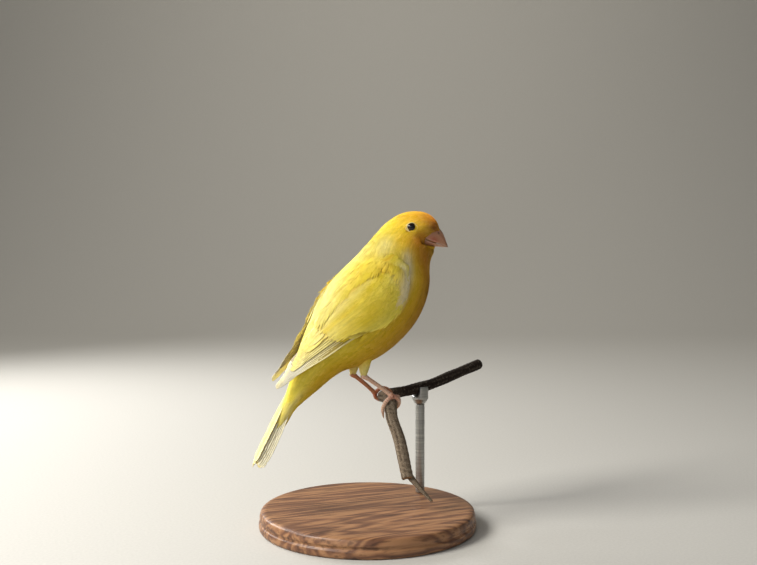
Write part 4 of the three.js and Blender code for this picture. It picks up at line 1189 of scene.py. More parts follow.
# %% Tail feathers
TAIL_ROOT = np.array([-43.7, 0, 6.9])
TAIL_TIP = np.array([-60.2, 0, -24.6])
TAIL_AXIS = unit(TAIL_TIP - TAIL_ROOT)
TAIL_UP = np.array([TAIL_AXIS[2], 0, -TAIL_AXIS[0]])
TAIL_LENGTH = float(np.linalg.norm(TAIL_TIP - TAIL_ROOT))
TAIL_SLOPE = 30 * DEGREE
TAIL_ROLL = -14 * DEGREE
TAIL_GAP = 0.56  # mm from one feather's middle to the next one's
TAIL_HALF = 2.0


def rolled(y, up):
    """A vector from a sideways and an upward part, turned about the tail's axis (Rodrigues)."""
    vector = np.asarray(y)[..., None] * np.array([0.0, 1, 0]) + np.asarray(up)[..., None] * TAIL_UP
    return vector * np.cos(TAIL_ROLL) + np.cross(TAIL_AXIS, vector) * np.sin(TAIL_ROLL)


rng = np.random.default_rng(41)
t = 1 - (1 - np.linspace(0, 1, 30)) ** 1.3
s, level = SECTION, t[:, None]
feathers = []
for pair in range(5, -1, -1):
    for side, _ in SIDES:
        outer = pair / 5
        shorter = 2.4 * (1 - outer) ** 1.5 + (0.9 if pair == 5 else 0)
        length = TAIL_LENGTH - 0.4 - shorter - (1.3 if side == RIGHT else 0)
        length += rng.uniform(-0.3, 0.3)
        slope = TAIL_SLOPE * smoothstep(0.25 + outer)
        spread = mix(0.62, 1, smoothstep(t * 1.4)) * mix(1, 0.9, smoothstep((t - 0.8) * 5))
        aside = TAIL_GAP * (0.7 + pair) * spread
        drop = 0.4 + aside * np.tan(TAIL_SLOPE) + 0.18 * pair
        centre = rolled(side * aside, -drop) + TAIL_ROOT + TAIL_AXIS * (length * t)[:, None]
        across = np.tile(rolled(np.cos(slope), -side * np.sin(slope)), (len(t), 1)) * side
        out = np.tile(rolled(side * np.sin(slope), np.cos(slope)), (len(t), 1))
        rings = vane_rings(rng, centre[None], out[None], across[None], np.array([TAIL_HALF]),
                           1.25, 0.12, 0.8, 0.15)[0]
        tone = lay(mix(TONE["cream"], TONE["frost"], 0.5), TONE["lemon"], 0.3 * (1 - level))
        # the frost web, a lemon stripe, umber along one edge as painted shade where the feathers
        # lap, and the ochre shaft
        for laid, share in (("frost", 0.85 * smoothstep((s - 0.1) / 0.5)),
                            ("lemon", 0.4 * bell((s + 0.3) / 0.25)),
                            ("umber", 0.3 * bell((s + 0.93) / 0.10) * smoothstep(level * 2)),
                            ("ochre", 0.3 * bell(s / 0.06))):
            tone = lay(tone, TONE[laid], share)
        wide = outline_width(level, 0.8) * TAIL_HALF
        shift = (TAIL_GAP * spread / np.cos(slope))[:, None] if pair else 9.0
        # the cover by the next pair sets where painted shade falls under its edge
        feathers.append((rings, np.clip(tone * rng.uniform(0.94, 1.04), 0, 1),
                         length * level - np.abs(s) * 2.8,
                         wide * (0.75 - s * np.where(s < 0, 1.25, 0.75)) - shift - 0.2, 0.22))
tail = vane_piece("tail_feathers", *map(np.stack, zip(*feathers)))
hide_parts("tail")

# %% The sleeve of tail coverts
MM_PER_RIB = 7.0  # near the tail
ROW_STARTS = (-9.0, -6.8, -4.6, -2.6, -1.0)


def sleeve(reach, around, swell=0.0):
    """Runs on from the last rib along the tail: up to the end it is the body, beyond it the last
    ring shifted along the tail's axis and drawn in by a share of the way."""
    reach, around, swell = np.broadcast_arrays(reach, around, swell)
    before = np.clip(-reach, 0, None) / MM_PER_RIB
    zero = np.zeros_like(around)
    end = body_surface(zero, around, swell)
    inward = (body_surface(zero, around + np.pi, swell) - end) / 2
    past = np.clip(reach, 0, None)[..., None]
    beyond = end + TAIL_AXIS * past + inward * (0.05 * past)
    return np.where(reach[..., None] > 0, beyond, body_surface(before, around, swell))


spots = []
for row, start_at in enumerate(ROW_STARTS):
    turn = (np.arange(22) + 0.5 * (row % 2)) / 22 * 2 * np.pi - np.pi
    spots.append(np.stack([start_at + rng.normal(0, 0.4, 22), turn], 1))
spots = np.concatenate(spots)
run = rng.uniform(7.0, 8.8, len(spots))
made, start, end, shade = tufts(rng, sleeve, spots, (run, 0.0), 9, 0.34, 0.48, -1.0, 0.05)
rib = np.clip(-start[:, 0] / MM_PER_RIB, 0, 3)
tone = body_colour(rib, start[:, 1])
coat_piece("coat_tail", [(made, tone, mix(tone, TONE["cream"], 0.7), shade,
                          skin_uv(rib, wrap(start[:, 1])))])

# %% [markdown]
# The bill
#
# A canary cracks seed with a short cone of horn. Both halves are grown from their own row of
# heights and breadths along the line of the mouth. The upper one overlaps the lower at the cutting
# edge, has a low ridge on top and a nostril pit at its base. Horn is slightly see-through: pinkish
# with the blood at the base, paler at the edges and darker along the ridge.

# %% Both mandibles
UPPER_BILL = [  # along, height, half breadth
    (-0.4, 6.6, 3.3), (2.0, 7.0, 3.5), (4.5, 6.6, 3.4), (6.2, 5.7, 3.1), (7.6, 4.7, 2.6),
    (9.0, 3.2, 1.9), (10.3, 1.6, 1.1), (11.4, 0.35, 0.35)]
LOWER_BILL = [
    (-0.4, 2.8, 3.0), (2.0, 2.4, 3.0), (4.0, 1.8, 2.85), (6.4, 1.15, 2.35), (8.6, 0.65, 1.5),
    (10.1, 0.35, 0.6)]
NOSTRIL = (5.3, 4.3)


def bill_point(along, height, y):
    """Along the mouth line from the gape and square to it, then turned with the head."""
    x = GAPE[0] + along * np.cos(MOUTH_SLOPE) + height * np.sin(MOUTH_SLOPE)
    z = GAPE[1] - along * np.sin(MOUTH_SLOPE) + height * np.cos(MOUTH_SLOPE)
    return turned(np.stack(np.broadcast_arrays(x, y, z), -1))


def nostril(along, lift, long, high):
    """1 in the middle of the nostril, falling off as a bell along and up the bill."""
    return np.exp(-((along - NOSTRIL[0]) / long) ** 2 - ((lift - NOSTRIL[1]) / high) ** 2)


def mandible(rows, upper):
    """Half an ellipse over the mouth line for each row, closed below by a shallow hollow."""
    rows = np.array(rows)
    tip = rows[-1, 0]
    along = np.concatenate([np.linspace(rows[0, 0], tip - 0.8, 44),
                            tip - 0.8 * (1 - np.linspace(0.06, 1, 12)) ** 1.8])
    sizes = read_rows(rows, np.interp(along, rows[:, 0], np.arange(len(rows))))[:, 1:]
    close = np.sqrt(np.clip(1 - np.clip((along - tip + 0.5) / 0.52, 0, 1) ** 2, 0.02, 1))
    height, half = (sizes * close[:, None]).T[..., None]
    angle, flat = np.linspace(0, np.pi, 33), np.linspace(-1, 1, 9)
    ridge = 1 + 0.05 * bell((angle - np.pi / 2) / 0.16) * upper
    edge = (-0.16 if upper else 0.06) * bell(np.sin(angle) / 0.22)
    over = 0.13 + height * np.sin(angle) ** 0.85 * ridge + edge
    under = 0.13 + 0.22 * (1 - flat ** 2) * np.minimum(height, 1)
    y = np.concatenate([half * np.cos(angle) * (1.03 if upper else 0.95),
                        np.linspace(-0.9, 0.9, 9) * half * (0.97 if upper else 0.9)], 1)
    lift = np.concatenate([over, under], 1) * (1 if upper else -1)
    place = np.broadcast_to(along[:, None], lift.shape)
    if upper:
        y = y - np.sign(y) * 0.42 * nostril(place, lift, 0.55, 0.38) * (np.abs(y) > 0.3)
    return bill_point(place, lift, y), place, lift, y

# %% Horn
HORN = palette(pink="c48e6c", brown="86583c", pale="e9cdb2", red="b4502c", dark="2e1a12")


def horn_material(name, roughness):
    """Keratin horn: fine growth lines, a clear coat and light from within."""
    material, tree, shader, place = new_material(name, {
        "Roughness": roughness, "IOR": 1.56, "Subsurface Weight": 0.25, "Coat Weight": 0.15,
        "Subsurface Radius": (1.0, 0.45, 0.25), "Subsurface Scale": 0.0008})
    lines = noise(tree, place, 900.0, 4.0, Roughness=0.6)
    paint = uneven(tree, 0.6, lines, (0.3, "d2c4b8"), (0.7, "ffffff"))
    wire(tree, shader, paint, (0.25, 0.00008, lines))
    return material


bill_horn = horn_material("bill_horn_keratin", 0.38)
for name, rows, upper in (("bill_upper", UPPER_BILL, True), ("bill_lower", LOWER_BILL, False)):
    rings, along, lift, y = mandible(rows, upper)
    height = np.abs(lift)
    tone = np.broadcast_to(HORN["pink"], (*along.shape, 3))
    # the nostril is painted near black: painted shade in its pit
    for laid, share in (
            ("brown", 0.6 * bell(y / 0.9) * upper * smoothstep((height - 0.4) / 0.8)),
            ("red", 0.75 * np.exp(-((along - 4.0) / 2.0) ** 2 - ((lift - 1.0) / 1.3) ** 2)),
            ("pale", 0.4 * bell((height - 0.3) / 0.25)),
            ("brown", 0.5 * smoothstep((along - 9.2) / 1.6)),
            ("dark", np.clip(1.2 * nostril(along, lift, 0.42, 0.3), 0, 1) * upper)):
        tone = lay(tone, HORN[laid], share)
    made = make_mesh(name + "_horn", closed_tube(rings), bill_horn, per_point(tone))
    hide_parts(name)

# %% [markdown]
# Eyes and lids
#
# The eyeball is far larger than what shows of it. It is a ball sunk in the head, with a clear
# bulge over the pupil. Naked lids make a ring of fine folds, and tiny pale feathers grow from it
# outwards, which is the light ring that makes a canary look wide awake.

# %% An eyeball and its lids
EYE_COLOUR = palette(pupil="050303", iris="241108", rim="0c0604")
PUPIL, IRIS = 0.85, 1.5  # mm from the eye's axis to the edge of each
LID_LONG, LID_HIGH, LID_THICK = 1.98, 1.86, 0.15
LID_STEPS, LID_SIDES = 120, 14


def eye_material():
    """A wet cornea over a nearly black iris: colour from the mesh, with a clear coat."""
    material, tree, shader, place = new_material("eye_cornea", {
        "Roughness": 0.04, "IOR": 1.34, "Coat Weight": 0.5, "Coat Roughness": 0.03})
    fibres = noise(tree, place, 2200.0, 2.0)
    wire(tree, shader, uneven(tree, 0.5, fibres, (0.35, "8a8078"), (0.65, "ffffff")))
    return material


def eyeball(side):
    """A ball whose radius grows by 0.20 exp(-(distance from its axis / 1.15)^2) in front, and its
    colours."""
    tilt = np.linspace(0.0, np.pi, 50)[1:-1][:, None]
    spin = full_turn(64)
    off_axis = EYE["radius"] * np.sin(tilt) * np.ones_like(spin)
    radius = EYE["radius"] + 0.20 * bell(off_axis / 1.15) * (np.cos(tilt) > 0)
    ball = np.stack([radius * np.sin(tilt) * np.cos(spin), side * radius * np.cos(tilt),
                     radius * np.sin(tilt) * np.sin(spin)], -1)
    tone = lay(EYE_COLOUR["pupil"], EYE_COLOUR["iris"], smoothstep((off_axis - PUPIL) / 0.2))
    return ball, lay(tone, EYE_COLOUR["rim"], smoothstep((off_axis - IRIS) / 0.3))


def eyelids(side, centre):
    """A ring a little longer than high, lying in the skin, with fine radial folds."""
    turn, profile = full_turn(LID_STEPS), full_turn(LID_SIDES)
    path = np.stack([LID_LONG * np.cos(turn),
                     side * (EYE["sink"] + 0.02) - side * 0.10 * np.cos(turn) ** 2,
                     LID_HIGH * np.sin(turn)], -1)
    outward = unit(path * (1, 0, 1))
    fold = 1 + 0.10 * np.cos(30 * turn)[:, None] + 0.06 * np.cos(3 * profile)
    ring = (outward[:, None] * np.cos(profile)[:, None]
            + np.array([0, side, 0]) * np.sin(profile)[:, None] * 0.8)
    points = turned((path[:, None] + LID_THICK * fold[..., None] * ring + centre).reshape(-1, 3))
    index = np.arange(len(points)).reshape(LID_STEPS, LID_SIDES)
    a, d = index, np.roll(index, -1, axis=0)
    quads = np.stack([a, np.roll(a, -1, axis=1), np.roll(d, -1, axis=1), d], -1).reshape(-1, 4)
    if signed_volume(points, np.concatenate([quads[:, [0, 1, 2]], quads[:, [0, 2, 3]]])) < 0:
        quads = quads[:, ::-1]
    u, v = np.divmod(quads, LID_SIDES)
    tone = np.tile(mix(TONE["cream"], TONE["frost"], 0.5) * 0.86, (len(points), 1))
    inner = np.tile(np.cos(profile) < -0.5, LID_STEPS)
    form = points, quads, np.stack([u / LID_STEPS, v / LID_SIDES], -1)
    return form, lay(tone, TONE["umber"], 0.5 * inner)


def round_eye(side, out, turn):
    """The rib and the radians round it, at a distance and an angle from the eye's middle."""
    return (EYE_RIB + out * np.cos(turn) / EYE_SCALE[0],
            -side * (EYE_AROUND - out * np.sin(turn) / EYE_SCALE[1]))

# %% Both eyes
cornea = eye_material()
lid_skin = contour_feather("lid_skin", 0.12)
parts = []
for side, word in SIDES:
    centre = np.array([EYE["x"], side * (EYE["y"] - EYE["sink"]), EYE["z"]])
    ball, tone = eyeball(side)
    eye = make_mesh(f"eyeball_{word}", closed_tube(turned(ball + centre)), cornea, per_point(tone))
    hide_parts(f"eye_{word}")
    form, tone = eyelids(side, centre)
    lids = make_mesh(f"lids_{word}", form, lid_skin, tone)

    # the pale ring: short tufts that start at the lid and point outwards and back
    rng = np.random.default_rng(51 + side)
    turns = (np.arange(46)[None] + 0.5 * np.arange(3)[:, None]) / 46 * 2 * np.pi
    spots = np.stack([np.repeat([1.95, 2.02, 2.10], 46), turns.ravel()], 1)
    made, start, end, shade = tufts(
        rng, lambda *place: body_surface(*round_eye(side, *place[:2]), place[2]), spots,
        (0.34, 0.2 * np.sin(spots[:, 1])), 4, 0.11, 0.12, -0.7, 0.02)
    pale, gold = (np.tile(mix(TONE["cream"], TONE[tone], 0.7), (len(start), 1))
                  for tone in ("frost", "gold"))
    parts.append((made, pale, gold, shade, skin_uv(*round_eye(side, *start.T))))
coat_piece("coat_eye_rings", parts)

# %% [markdown]
# The branch
#
# The perch is a thin branch that comes from behind, passes under both feet and bends down towards
# the viewer. Its centre line is a centripetal Catmull-Rom curve, which makes no loops at the sharp
# bend. The bark is a height over the tube: long ridges along the grain and cracks across it.

# %% Branch and twig
BRANCH_PATH = np.array([
    (55.4, 25.5, 8.9), (41.3, 20.0, 5.9), (25.6, 15.0, 2.3), (14.5, 12.0, 0.8), (5.5, 9.3, 0.3),
    (-1.2, 4.6, 0.0), (-1.9, -4.6, 0.0), (-2.5, -8.2, -7.0), (-0.9, -12.4, -16.0),
    (0.4, -17.4, -29.8),
])
TWIG_PATH = np.array([(1.0, -16.4, -28.6), (2.8, -18.9, -31.6), (5.2, -21.4, -35.0),
                      (8.1, -23.8, -38.6)])
BRANCH_RADIUS = 2.25
BARK = 0.2  # mm that the bark adds
BROKEN = 3.0  # the bark height that stands for bare wood at a broken end


def centripetal(points, samples):
    """A curve through points whose knots are the square roots of the distances between them."""
    padded = np.concatenate([[2 * points[0] - points[1]], points, [2 * points[-1] - points[-2]]])
    pieces = []
    for a, b, c, d in zip(padded, padded[1:], padded[2:], padded[3:]):
        k0, k1, k2 = (np.sqrt(np.linalg.norm(q - p)) for p, q in ((a, b), (b, c), (c, d)))
        slope_b = ((b - a) / k0 - (c - a) / (k0 + k1) + (c - b) / k1) * k1
        slope_c = ((c - b) / k1 - (d - b) / (k1 + k2) + (d - c) / k2) * k1
        t = np.linspace(0, 1, samples, endpoint=False)[:, None]
        pieces.append(hermite(b, c, slope_b, slope_c, t))
    return np.concatenate([*pieces, points[-1:]])


BRANCH_LINE = centripetal(BRANCH_PATH, 60)
BRANCH_STEPS = path_length(BRANCH_LINE)
BRANCH_LENGTH = float(BRANCH_STEPS[-1])
print("branch:", round(BRANCH_LENGTH, 1), "mm long")


def on_branch(share):
    """The point at a share of the branch's length."""
    at = np.clip(share, 0, 1) * BRANCH_LENGTH
    return np.stack([np.interp(at, BRANCH_STEPS, BRANCH_LINE[:, k]) for k in range(3)], -1)

# %% Bark
def bark(rng, along, angle):
    """Bark's height from about -1 to 1: ridges along the grain and cracks across it."""
    ridges, cracks = np.zeros((2, *np.broadcast(along, angle).shape))
    for _ in range(14):
        turns = rng.integers(3, 10)
        ridges += np.sin(turns * angle + along * rng.uniform(-0.35, 0.35) + rng.uniform(0, 6.28))
    for _ in range(10):
        cracks += np.sin(along * rng.uniform(1.2, 3.8) + rng.integers(1, 4) * angle
                         + rng.uniform(0, 6.28))
    return 0.16 * ridges + 0.10 * cracks


def woody(rng, line, radii, sides, relief, jag):
    """A bark-covered tube with broken ends: rings, then two inner rings at each end whose splinters
    stand out by random amounts. Returns the rings and the bark's height."""
    height = bark(rng, path_length(line)[:, None], full_turn(sides)[None])
    rings = sweep(line, radii[:, None] + relief * height, (0.2, 0.1, 1.0), sides)
    ends = []
    for ring, way in ((rings[0], line[0] - line[1]), (rings[-1], line[-1] - line[-2])):
        splinter = rng.uniform(-0.2, 1.0, (2, sides, 1)) * jag * unit(way)
        ends.append(mix(ring.mean(0), ring, np.array([0.82, 0.45])[:, None, None]) + splinter)
    rings = np.concatenate([ends[0][::-1], rings, ends[1]])
    return rings, np.pad(height, ((2, 2), (0, 0)), constant_values=BROKEN)


def bark_material():
    """Dead bark: grey-brown and rough, with pale lichen specks, bumped by fine noise."""
    material, tree, shader, place = new_material("bark_dry", {
        "Roughness": 0.86, "Specular IOR Level": 0.2})
    grain = noise(tree, place, 2400.0, 5.0, Roughness=0.7)
    paint = uneven(tree, 0.85, grain, (0.35, "6a5c50"), (0.62, "ffffff"))
    specks = add(tree, "TexVoronoi", inputs={"Vector": place, "Scale": 750.0})
    dots = ramp(tree, specks.outputs["Distance"], (0.12, "ffffff"), (0.3, "000000"))
    lichen = blended(tree, calculated(tree, "MULTIPLY", dots, 0.16), paint, opaque("b5ab98"))
    wire(tree, shader, lichen, (0.7, 0.00025, grain))
    return material

# %% The branch and its twig
WOOD = palette(grey="8c7c68", dark="2c2018", pale="b0a48e", heart="b99468")
rng = np.random.default_rng(61)
share = np.linspace(0, 1, 330)
radii = BRANCH_RADIUS + BARK * share + 0.07 * np.sin(37 * share)
branch_rings, height = woody(rng, on_branch(share), radii, 48, 0.13, 0.7)
twig_line = centripetal(TWIG_PATH, 16)
radii = np.interp(np.linspace(0, 3, len(twig_line)), range(4), (1.5, 1.1, 0.8, 0.5))
twig_rings, twig_height = woody(rng, twig_line, radii, 24, 0.09, 0.4)
tones = []
for lift, near in ((height, np.pad(share, 2, "edge")), (twig_height, np.ones(len(twig_rings)))):
    # the arm that comes from behind is painted dark as painted shade, turning to grey bark towards
    # the feet; the twig is grey
    out_of_painted_shade = smoothstep((near - 0.45) / 0.2)[:, None]
    tone = lay(WOOD["dark"], WOOD["grey"], out_of_painted_shade)
    tone = lay(tone, WOOD["pale"], mix(0.15, 0.5, out_of_painted_shade) * smoothstep(lift / 1.1))
    tone = lay(tone, WOOD["dark"], 0.6 * smoothstep(-lift / 0.9))
    tones.append(per_point(np.where(lift[..., None] == BROKEN, WOOD["heart"], tone)))
form = join_forms([closed_tube(branch_rings), closed_tube(twig_rings)])
branch = make_mesh("branch_bark", form, bark_material(), np.concatenate(tones))
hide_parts("branch")

# %% [markdown]
# Legs, toes and claws
#
# A songbird's leg is bare below the ankle and covered in scales: a row of broad scutes down the
# front and along the top of each toe, and small round ones behind. Three toes go round the perch
# from the front and one from behind. Each is a tube bent round the branch, pinched at its joints,
# with the scutes as saw-toothed steps. The claws are horn and stay separate.

# %% Feet on the branch
FOOT_ON_BRANCH = {RIGHT: np.array([-1.9, -5.3, -0.8]), LEFT: np.array([-1.2, 4.6, 0.0])}
FOOT_ROLL = {RIGHT: 0.0, LEFT: -70.0}
TOE_RADIUS = 0.8
TOES = [  # start, reach and claw in degrees round the branch, and spread in mm along it
    (6, 112, 42, 2.6), (4, 142, 46, 0.3), (6, 118, 42, -2.2), (-4, -104, -24, -4.6),
]
GRIP = BRANCH_RADIUS + BARK + 0.25 + TOE_RADIUS  # from the branch's middle to a toe's
CLAW_STEPS, CLAW_SIDES = 30, 14
SCALE = palette(pale="dcb89e", pink="cc9a82", orange="b9703a", seam="8c5f48", red="bf5630")


def grip_point(foot_share, shift, angle, radius):
    """Round the branch: centre + r (up cos(angle) + forward sin(angle)), square to its tangent."""
    share = np.broadcast_to(foot_share + shift / BRANCH_LENGTH, np.shape(angle))
    centre = on_branch(share)
    tangent = unit(on_branch(share + 0.004) - on_branch(share - 0.004))
    forward = unit(FORWARD - tangent * tangent[..., :1])
    up = np.cross(forward, tangent)
    up = up * np.where(up[..., 2:] < 0, -1, 1)
    radius, angle = np.asarray(radius)[..., None], angle[..., None]
    return centre + up * radius * np.cos(angle) + forward * radius * np.sin(angle)


def scutes(along, around, pitch):
    """Steps of a row of scutes: a saw tooth along the limb, strongest at its front, and small cells
    elsewhere. Returns height and the seams between scutes."""
    tooth = (along / pitch) % 1.0
    row = smoothstep((np.cos(around) + 0.25) / 0.5)
    cells = np.sin(along / pitch * 9) * np.sin(around * 7)
    return row * (tooth - 0.5) * 0.55 + (1 - row) * 0.3 * cells, bell((tooth - 0.06) / 0.10) * row


def limb(line, radii, sides, pitch, reference):
    """The rings of a scaled tube, radius + 0.10 mm x scutes, and its seams."""
    lift, seam = scutes(path_length(line)[:, None], full_turn(sides), pitch)
    return sweep(line, radii[:, None] + 0.10 * lift, reference, sides), seam


def tapered(t, start, length, least):
    """1, then drawn in like the end of an ellipse from start on."""
    return np.sqrt(np.clip(1 - np.clip((t - start) / length, 0, 1) ** 2, least, 1))


def scale_tone(base, seam, redness):
    """A little pink, then red where the skin shows through, then the seams."""
    tone = lay(mix(base, SCALE["pink"], 0.2), SCALE["red"], redness[:, None] * np.ones_like(seam))
    return per_point(lay(tone, SCALE["seam"], 0.75 * seam))

# %% Both feet
leg_skin = horn_material("leg_scales", 0.5)
claw_horn = horn_material("claw_horn_keratin", 0.3)
for side, word in SIDES:
    steps = np.linspace(0, 1, 801)
    off = np.linalg.norm(on_branch(steps) - FOOT_ON_BRANCH[side], axis=1)
    foot_share = float(steps[np.argmin(off)])
    roll = FOOT_ROLL[side]
    # the far foot is orange-brown where the near one is pale pink: painted shade on the far foot
    base = SCALE["pale"] if side == RIGHT else SCALE["orange"]
    t = np.linspace(-0.06, 1.0, 110)
    sole = grip_point(foot_share, 0.0, np.array(roll * DEGREE), GRIP)
    line = mix(ANKLE[side], sole, t[:, None])
    bend = FORWARD * 0.35 * np.sin(np.pi * np.clip(t, 0, 1))[:, None]
    radii = 0.86 + 0.42 * bell(t / 0.09) + 0.32 * smoothstep((t - 0.82) * 5)
    rings, seam = limb(line + bend, radii * tapered(t, 0.95, 0.06, 0.15), 28, 1.35, (1.0, 0, 0.5))
    parts, claws = [closed_tube(rings)], []
    tones = [scale_tone(base, seam, 0.5 * smoothstep((t - 0.86) / 0.1))]
    for start, reach, claw, spread in TOES:
        reach = reach + roll / 2
        t = np.linspace(0, 1, 64)
        angle = mix(start + roll, reach, 1 - (1 - t) ** 1.5) * DEGREE
        line = grip_point(foot_share, side * spread * t ** 1.4, angle, GRIP)
        radii = TOE_RADIUS * (1.1 - 0.22 * t + 0.05 * np.cos(t * 18)) * tapered(t, 0.95, 0.055, 0.1)
        outward = line - on_branch(foot_share)
        rings, seam = limb(line, radii, 20, 0.85, outward)
        parts.append(closed_tube(rings))
        tones.append(scale_tone(base, seam, 0.55 * (1 - smoothstep(t / 0.3))))
        t = np.linspace(-0.12, 1, CLAW_STEPS)
        from_root = np.clip(t, 0, 1)
        line = grip_point(foot_share, side * spread * (1 + 0.4 * from_root),
                          (reach + claw * t) * DEGREE, GRIP - 0.1 * t)
        radii = 0.52 * (1 - from_root) ** 0.75 + 0.06
        claws.append(closed_tube(sweep(line, radii[:, None], outward[-1], CLAW_SIDES)))
    leg = make_mesh(f"foot_{word}", join_forms(parts), leg_skin, np.concatenate(tones))
    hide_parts(f"leg_{word}")
    level = np.append(np.repeat(np.linspace(0, 1, CLAW_STEPS), CLAW_SIDES), [0, 1])
    browner = 0.55 * np.tile(level, len(TOES))
    tone = lay(mix(HORN["pale"], HORN["pink"], 0.5), HORN["brown"], browner)
    claw_piece = make_mesh(f"claws_{word}", join_forms(claws), claw_horn, tone)

# %% [markdown]
# The stand
#
# A museum mount shows as little as it can: a turned wooden disc, one thin metal rod, and a cup
# that carries the branch in a saddle. Each is a profile turned round an upright line. The saddle
# is made by letting the cup's top give way wherever the branch would cut into it.

# %% Wood and steel
def stretched(tree, place, scale):
    """Places multiplied by a scale for each way, so that noise is drawn out along the least."""
    return add(tree, "Mapping", inputs={"Vector": place, "Scale": scale}).outputs["Vector"]


def wood_material():
    """Oiled wood: long rings of grain along x, fine pores, and a satin finish."""
    material, tree, shader, place = new_material("base_oiled_wood", {"Roughness": 0.42})
    drawn_out = stretched(tree, place, (6.0, 60.0, 60.0))
    warp = noise(tree, drawn_out, 1.0, 3.0, Distortion=0.4)
    bands = calculated(tree, "SINE", calculated(tree, "MULTIPLY", warp, 70.0))
    level = add(tree, "MapRange", inputs={"Value": bands, "From Min": -1.0, "From Max": 1.0})
    grain = ramp(tree, level.outputs["Result"], (0.0, "6b4630"), (0.6, "8f6443"), (1.0, "a0744f"))
    pores = noise(tree, drawn_out, 14.0, 4.0)
    paint = uneven(tree, 0.55, pores, (0.34, "5a4234"), (0.5, "ffffff"), under=grain)
    wire(tree, shader, paint, (0.25, 0.0001, pores))
    return material


def metal_material():
    """Brushed steel: metal with fine rings round the rod in colour, bump and gloss."""
    material, tree, shader, place = new_material("rod_brushed_steel", {"Metallic": 1.0})
    brushed = noise(tree, stretched(tree, place, (30.0, 30.0, 1500.0)), 1.0, 3.0)
    gloss = add(tree, "MapRange", inputs={"Value": brushed, "To Min": 0.25, "To Max": 0.45})
    tree.links.new(gloss.outputs["Result"], shader.inputs["Roughness"])
    wire(tree, shader, ramp(tree, brushed, (0.3, "8f8f8c"), (0.7, "b4b3ae")),
         (0.06, 0.00005, brushed))
    return material

# %% Base, rod and cradle
BASE_X, BASE_RADIUS, BASE_LOW, BASE_TOP = -10.0, 45.0, -53.0, -45.0
CUP_TOP, CUP_DROP = 7.6, 7.0  # the cup's height, and its foot's depth under the branch
ROOM = BRANCH_RADIUS + BARK + 0.35  # from the branch's middle to the saddle
line = on_branch(np.linspace(0, 1, 2001))
cradle_foot = line[np.argmin(np.abs(line[:, 0] - 20.0))] - CUP_DROP * UP


def turned_form(profile, centre, sides):
    """A profile of (radius, height) pairs turned round an upright line: closed at both ends."""
    angle = full_turn(sides)
    radius, height = profile[:, :1], profile[:, 1:]
    ring = np.broadcast_arrays(radius * np.cos(angle), radius * np.sin(angle), height)
    return np.stack(ring, -1) + np.asarray(centre)


def rounded(corners, radius, steps=6):
    """The corners of a profile replaced by quarter curves: each a blend of its two neighbours."""
    corners = np.asarray(corners, float)
    made = [corners[0]]
    for before, here, after in zip(corners, corners[1:], corners[2:]):
        start, end = (here + unit(other - here) * min(radius, np.linalg.norm(other - here) * 0.45)
                      for other in (before, after))
        for t in np.linspace(0, 1, steps):
            made.append((1 - t) ** 2 * start + 2 * t * (1 - t) * here + t ** 2 * end)
    return np.array([*made, corners[-1]])


r, low, top = BASE_RADIUS, BASE_LOW, BASE_TOP
profile = rounded([(0.5, low), (r - 0.8, low), (r, low + 0.8), (r, low + 3.0), (r - 0.7, low + 3.6),
                   (r - 0.7, low + 4.4), (r - 0.2, low + 5.0), (r - 0.9, top - 0.6), (r - 2.6, top),
                   (0.5, top)], 0.7)
base = turned_form(profile, (BASE_X, 0, 0), 160)

rod_low, rod_top = top + 0.3, float(cradle_foot[2]) - 0.3
profile = rounded([(0.3, rod_low), (2.0, rod_low), (2.0, rod_top), (0.3, rod_top)], 0.25)
rod = turned_form(profile, (*cradle_foot[:2], 0), 64)

profile = rounded([(0.2, 0), (2.2, 0), (3.6, 2.2), (3.6, CUP_TOP), (3.0, CUP_TOP), (0.2, CUP_TOP)],
                  0.35)
mouth = np.stack([np.linspace(2.9, 0.2, 16), np.full(16, CUP_TOP)], 1)
cup = turned_form(np.concatenate([profile[:-1], mouth]), cradle_foot, 96)
away = np.linalg.norm(cup[:, :, None, :2] - line[::8, :2], axis=-1)
nearest, far = away.argmin(-1), away.min(-1)
seat = line[::8][nearest][..., 2] - np.sqrt(np.clip(ROOM ** 2 - far ** 2, 0, None))
cup[..., 2] = np.where((far < ROOM) & (cup[..., 2] > seat), seat, cup[..., 2])

oiled_wood, steel = wood_material(), metal_material()
for name, rings, material, node, slot in (
        ("stand_base_turned", base, oiled_wood, "stand_base", "base_wood"),
        ("stand_rod_steel", rod, steel, "stand_rod", "rod_metal"),
        ("stand_cradle_steel", cup, steel, "stand_cradle", "rod_metal")):
    made = make_mesh(name, closed_tube(rings), material)
    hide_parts(node)

# %% [markdown]
# Floor, light and camera
#
# Soft daylight comes from the left, from above and a little from behind the bird, so its back is
# bright and the breast is in shade. A large soft lamp stands there on the viewer's side and a
# second one beyond the bird. A pale window lamp beside the camera puts the small light in the eye,
# and a weak warm one opens the shadows. The floor turns up into a wall far behind, with a lamp of
# its own, so there is no corner. The camera is turned 22 degrees towards the bird's front and
# looks slightly down.

# %% Floor
VIEW_TURN = 22 * DEGREE
AHEAD = np.array([np.sin(VIEW_TURN), np.cos(VIEW_TURN), 0.0])
RIGHTWARD = np.array([np.cos(VIEW_TURN), -np.sin(VIEW_TURN), 0.0])
MIDDLE = to_part(np.array([-10.0, 0.0, 30.0]))

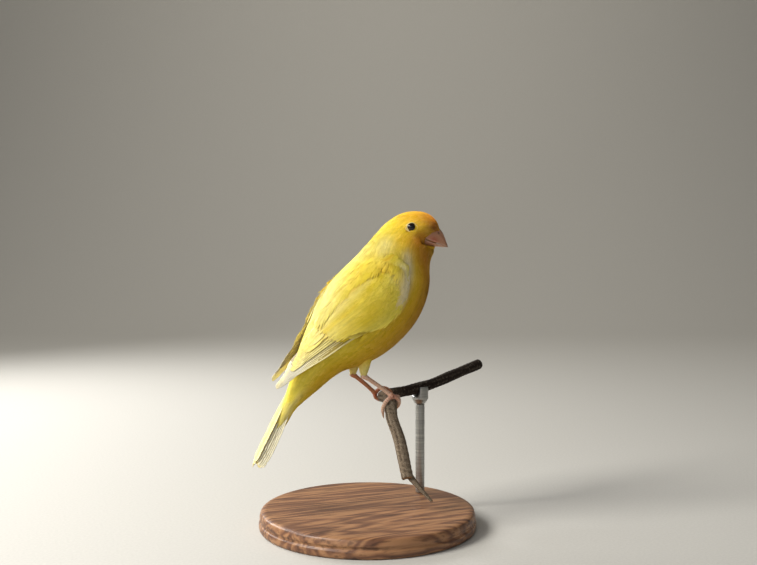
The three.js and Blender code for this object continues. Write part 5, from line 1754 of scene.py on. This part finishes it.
bow = np.linspace(0.05, np.pi / 2, 24)
depth = np.concatenate([np.linspace(-1.0, 0.9, 20), 0.9 + 0.8 * np.sin(bow), np.full(8, 1.7)])
rise = np.concatenate([np.zeros(20), 0.8 - 0.8 * np.cos(bow), np.linspace(0.9, 2.2, 8)])
aside = np.linspace(-2.4, 2.4, 25)
sheet = (MIDDLE * (1, 1, 0) + AHEAD * depth[:, None, None] + RIGHTWARD * aside[None, :, None]
         + UP * rise[:, None, None])
index = np.arange(sheet.shape[0] * 25).reshape(-1, 25)
quads = np.stack([index[:-1, :-1], index[:-1, 1:], index[1:, 1:], index[1:, :-1]], -1)
floor_paper, tree, shader, place = new_material("floor_matt_paper", {"Roughness": 0.9})
wire(tree, shader, ramp(tree, noise(tree, place, 900.0, 3.0), (0.3, "bdbab3"), (0.7, "c4c1ba")))
form = sheet.reshape(-1, 3) * 1000 - GRIP_IN_PART, quads.reshape(-1, 4), None
floor = make_mesh("floor", form, floor_paper)

# %% Lamps, sky and camera
LAMPS = [
    # name, rightward, ahead and up from the bird in metres, size in metres, watts, colour
    ("key", -0.50, -0.24, 0.40, 0.26, 6.0, "fffdf8"),
    ("rim", -0.45, 0.36, 0.30, 0.30, 3.4, "ffffff"),
    ("fill", 0.35, -0.7, 0.25, 0.6, 0.25, "fff4e2"),
    ("window", -0.27, -0.66, 0.27, 0.35, 0.9, "e8f0ff"),
    ("backdrop", 0.0, 0.8, 1.1, 0.9, 5.0, "fffaf0"),
]
CAMERA = np.array([-142.8, -365.4, 114.0]) * 0.001
VIEW_PIXELS, VIEW_DROP = 950.0, 30.5  # the view's distance and drop in the photograph's pixels
PHOTO_WIDTH, SENSOR_MM = 757.0, 36.0


def facing(way):
    """The rotation of a lamp or camera that looks along a way, upright."""
    return Vector(way).to_track_quat("-Z", "Y").to_euler()


def in_scene(name, data, place, rotation):
    """Puts a lamp or a camera into the scene."""
    made = bpy.data.objects.new(name, data)
    made.location, made.rotation_euler = place, rotation
    bpy.context.scene.collection.objects.link(made)
    return made


for name, right, forward, up, size, power, hex_colour in LAMPS:
    data = bpy.data.lights.new(name, "AREA")
    data.size, data.energy, data.color = size, power, tuple(linear(hex_colour))
    place = MIDDLE + RIGHTWARD * right + AHEAD * forward + UP * up
    target = MIDDLE + AHEAD * 1.6 if name == "backdrop" else MIDDLE
    in_scene(name, data, place, facing(target - place))

world = bpy.data.worlds.new("studio")
world.use_nodes = True
background = world.node_tree.nodes["Background"]
background.inputs["Color"].default_value = opaque("f2f2f0")
background.inputs["Strength"].default_value = 0.17
bpy.context.scene.world = world

data = bpy.data.cameras.new("photograph")
data.sensor_width = SENSOR_MM
data.lens = SENSOR_MM * VIEW_PIXELS / PHOTO_WIDTH
view = AHEAD * VIEW_PIXELS - UP * VIEW_DROP
bpy.context.scene.camera = in_scene("photograph", data, CAMERA, facing(view))
bpy.context.scene.view_settings.view_transform = "Standard"
